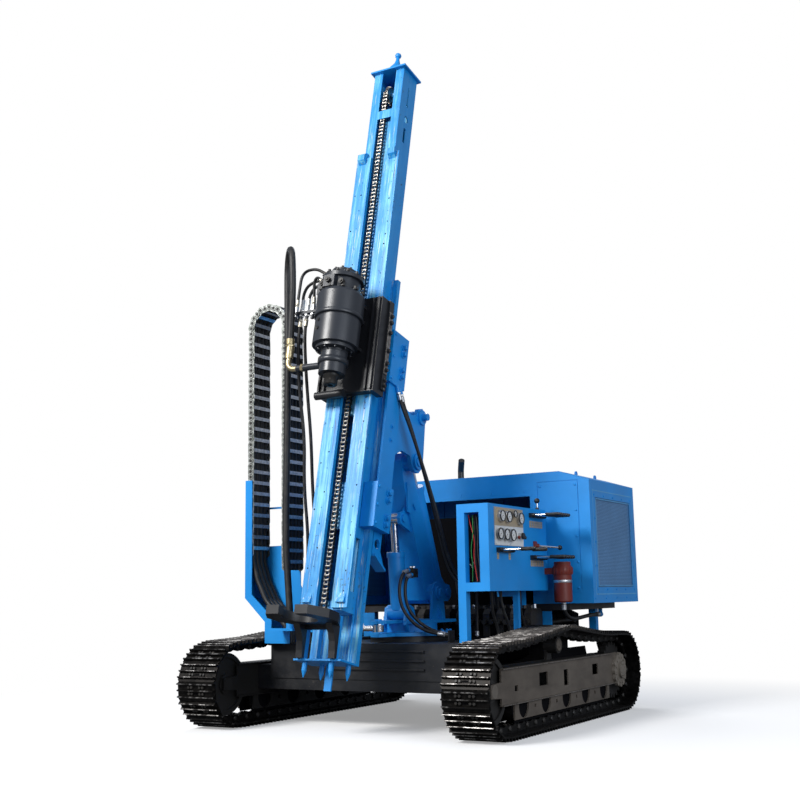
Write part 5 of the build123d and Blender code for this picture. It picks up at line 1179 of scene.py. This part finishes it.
def chain_sprocket():
    """Sprocket and its light bracket at the mast's head, seen through the open front."""
    build = Build(MAST_BLUE, STEEL).at(MAST)
    y, z, teeth = 0.118, 4.5, 22
    rim = []
    for i in range(teeth):
        for step, r in ((-0.3, 0.07), (-0.12, 0.08), (0.12, 0.08), (0.3, 0.07)):
            a = 2 * math.pi * (i + step) / teeth
            rim.append((y + r * math.cos(a), z + r * math.sin(a)))
    build.use(STEEL).prism(rim, "x", -0.034, 0.018)
    build.use(MAST_BLUE)
    for x in (-0.078, 0.06):
        build.prism([(0.055, 4.42), (0.18, 4.42), (0.18, 4.58), (0.055, 4.56)], "x", x, 0.012)
    build.rod((-0.09, y, z), (0.08, y, z), 0.022, 16)
    build.finish("chain_sprocket", "mast", "worn_steel")


# ---------------------------------------------------------------- camera, light, floor
def add_camera(scene):
    """The photo's camera, from its yaw, pitch and roll."""
    yaw, pitch, roll = math.radians(30.28), math.radians(9.68), math.radians(-0.98)
    ahead = Vector((-math.sin(yaw) * math.cos(pitch), math.cos(yaw) * math.cos(pitch), math.sin(pitch)))
    level = Vector((math.cos(yaw), math.sin(yaw), 0))
    over = level.cross(ahead)
    right = level * math.cos(roll) + over * math.sin(roll)
    up = over * math.cos(roll) - level * math.sin(roll)
    data = bpy.data.cameras.new("camera")
    data.sensor_width = 36.0
    data.lens = data.sensor_width * 1.435
    data.clip_end = 200.0
    camera = bpy.data.objects.new("camera", data)
    turn = Matrix((right, up, -ahead)).transposed().to_4x4()
    camera.matrix_world = FRONT @ Matrix.Translation((4.373, -6.368, 0.908)) @ turn
    scene.collection.objects.link(camera)
    scene.camera = camera


LAMPS = {
    # name: place, target, size, watts, colour
    "key": ((-3.5, -10.0, 8.5), (0.0, -0.5, 1.6), 4.0, 1750, (1.0, 0.985, 0.96)),
    "fill": ((9.0, -5.0, 4.0), (0.5, 0.0, 1.2), 6.0, 480, (0.86, 0.92, 1.0)),
    "back": ((-5.0, 7.0, 7.0), (0.0, 0.0, 2.0), 5.0, 420, (0.95, 0.97, 1.0)),
}


def add_lamps(scene):
    for name, (spot, target, size, watts, colour) in LAMPS.items():
        lamp = bpy.data.lights.new(name, "AREA")
        lamp.size = size
        lamp.energy = watts
        lamp.color = colour
        item = bpy.data.objects.new(name, lamp)
        item.location = spot
        item.rotation_euler = (Vector(target) - item.location).to_track_quat("-Z", "Y").to_euler()
        scene.collection.objects.link(item)


def add_world(scene):
    """White for the camera, a weaker cool sky for everything else."""
    world = bpy.data.worlds.new("studio")
    world.use_nodes = True
    scene.world = world
    tree = world.node_tree
    plain = tree.nodes["Background"]
    plain.inputs["Color"].default_value = (0.8, 0.87, 1.0, 1)
    plain.inputs["Strength"].default_value = 0.42
    white = tree.nodes.new("ShaderNodeBackground")
    white.inputs["Color"].default_value = (1, 1, 1, 1)
    path = tree.nodes.new("ShaderNodeLightPath")
    choose = tree.nodes.new("ShaderNodeMixShader")
    for i, output in enumerate((path.outputs["Is Camera Ray"], plain.outputs[0], white.outputs[0])):
        tree.links.new(output, choose.inputs[i])
    tree.links.new(choose.outputs[0], tree.nodes["World Output"].inputs["Surface"])


def add_floor(scene):
    """Ground that takes the shadow near the machine and fades to white further off, for the camera only."""
    half = 60
    corners = [(-half, -half, 0), (half, -half, 0), (half, half, 0), (-half, half, 0)]
    mesh = bpy.data.meshes.new("floor")
    mesh.from_pydata(corners, [], [(0, 1, 2, 3)])
    floor = bpy.data.objects.new("floor", mesh)
    scene.collection.objects.link(floor)
    look = Look("floor_look")
    place = {0: look.node("TexCoord", {}, "Object")}
    far = look.ramp(look.node("VectorMath", place, "Value", operation="LENGTH"), 2.2, 5.0)
    pale = look.mix(look.noise(0.6, 2.0), (0.62, 0.62, 0.62), (0.66, 0.66, 0.66))
    seen = look.node("LightPath", {}, "Is Camera Ray")
    shown = look.mix(far, pale, (0.0, 0.0, 0.0))
    mesh.materials.append(look.finish({
        "Base Color": look.mix(seen, (0.16, 0.16, 0.16), shown),
        "Roughness": 0.95,
        "Specular IOR Level": 0.0,
        "Emission Color": look.mix(far, (0.3, 0.3, 0.3), (1.0, 1.0, 1.0)),
        "Emission Strength": seen,
    }))


def studio():
    scene = bpy.context.scene
    scene.view_settings.view_transform = "Standard"
    for add in (add_camera, add_lamps, add_world, add_floor):
        add(scene)


studio()
hoses()
for side in SIDES:
    track(side)
frame_edges()
hose_chain()
roller_chain("front_chain", -0.022, 0.041, 0.355, 4.5, ["feed_chain"])
roller_chain("back_chain", 0.012, 0.15, 0.4, 4.48)
for make in (
        chain_sprocket, plug_welds, clamp_bolts, carriage_strips, head_fittings, spindle_end, brass_elbow,
        gauge_faces, lever_set, wires, hood_screws, drive_bolts, ring_bolts, canister_cap, ball_lever,
        valve_block, engine_sump, valve_bank):
    make()
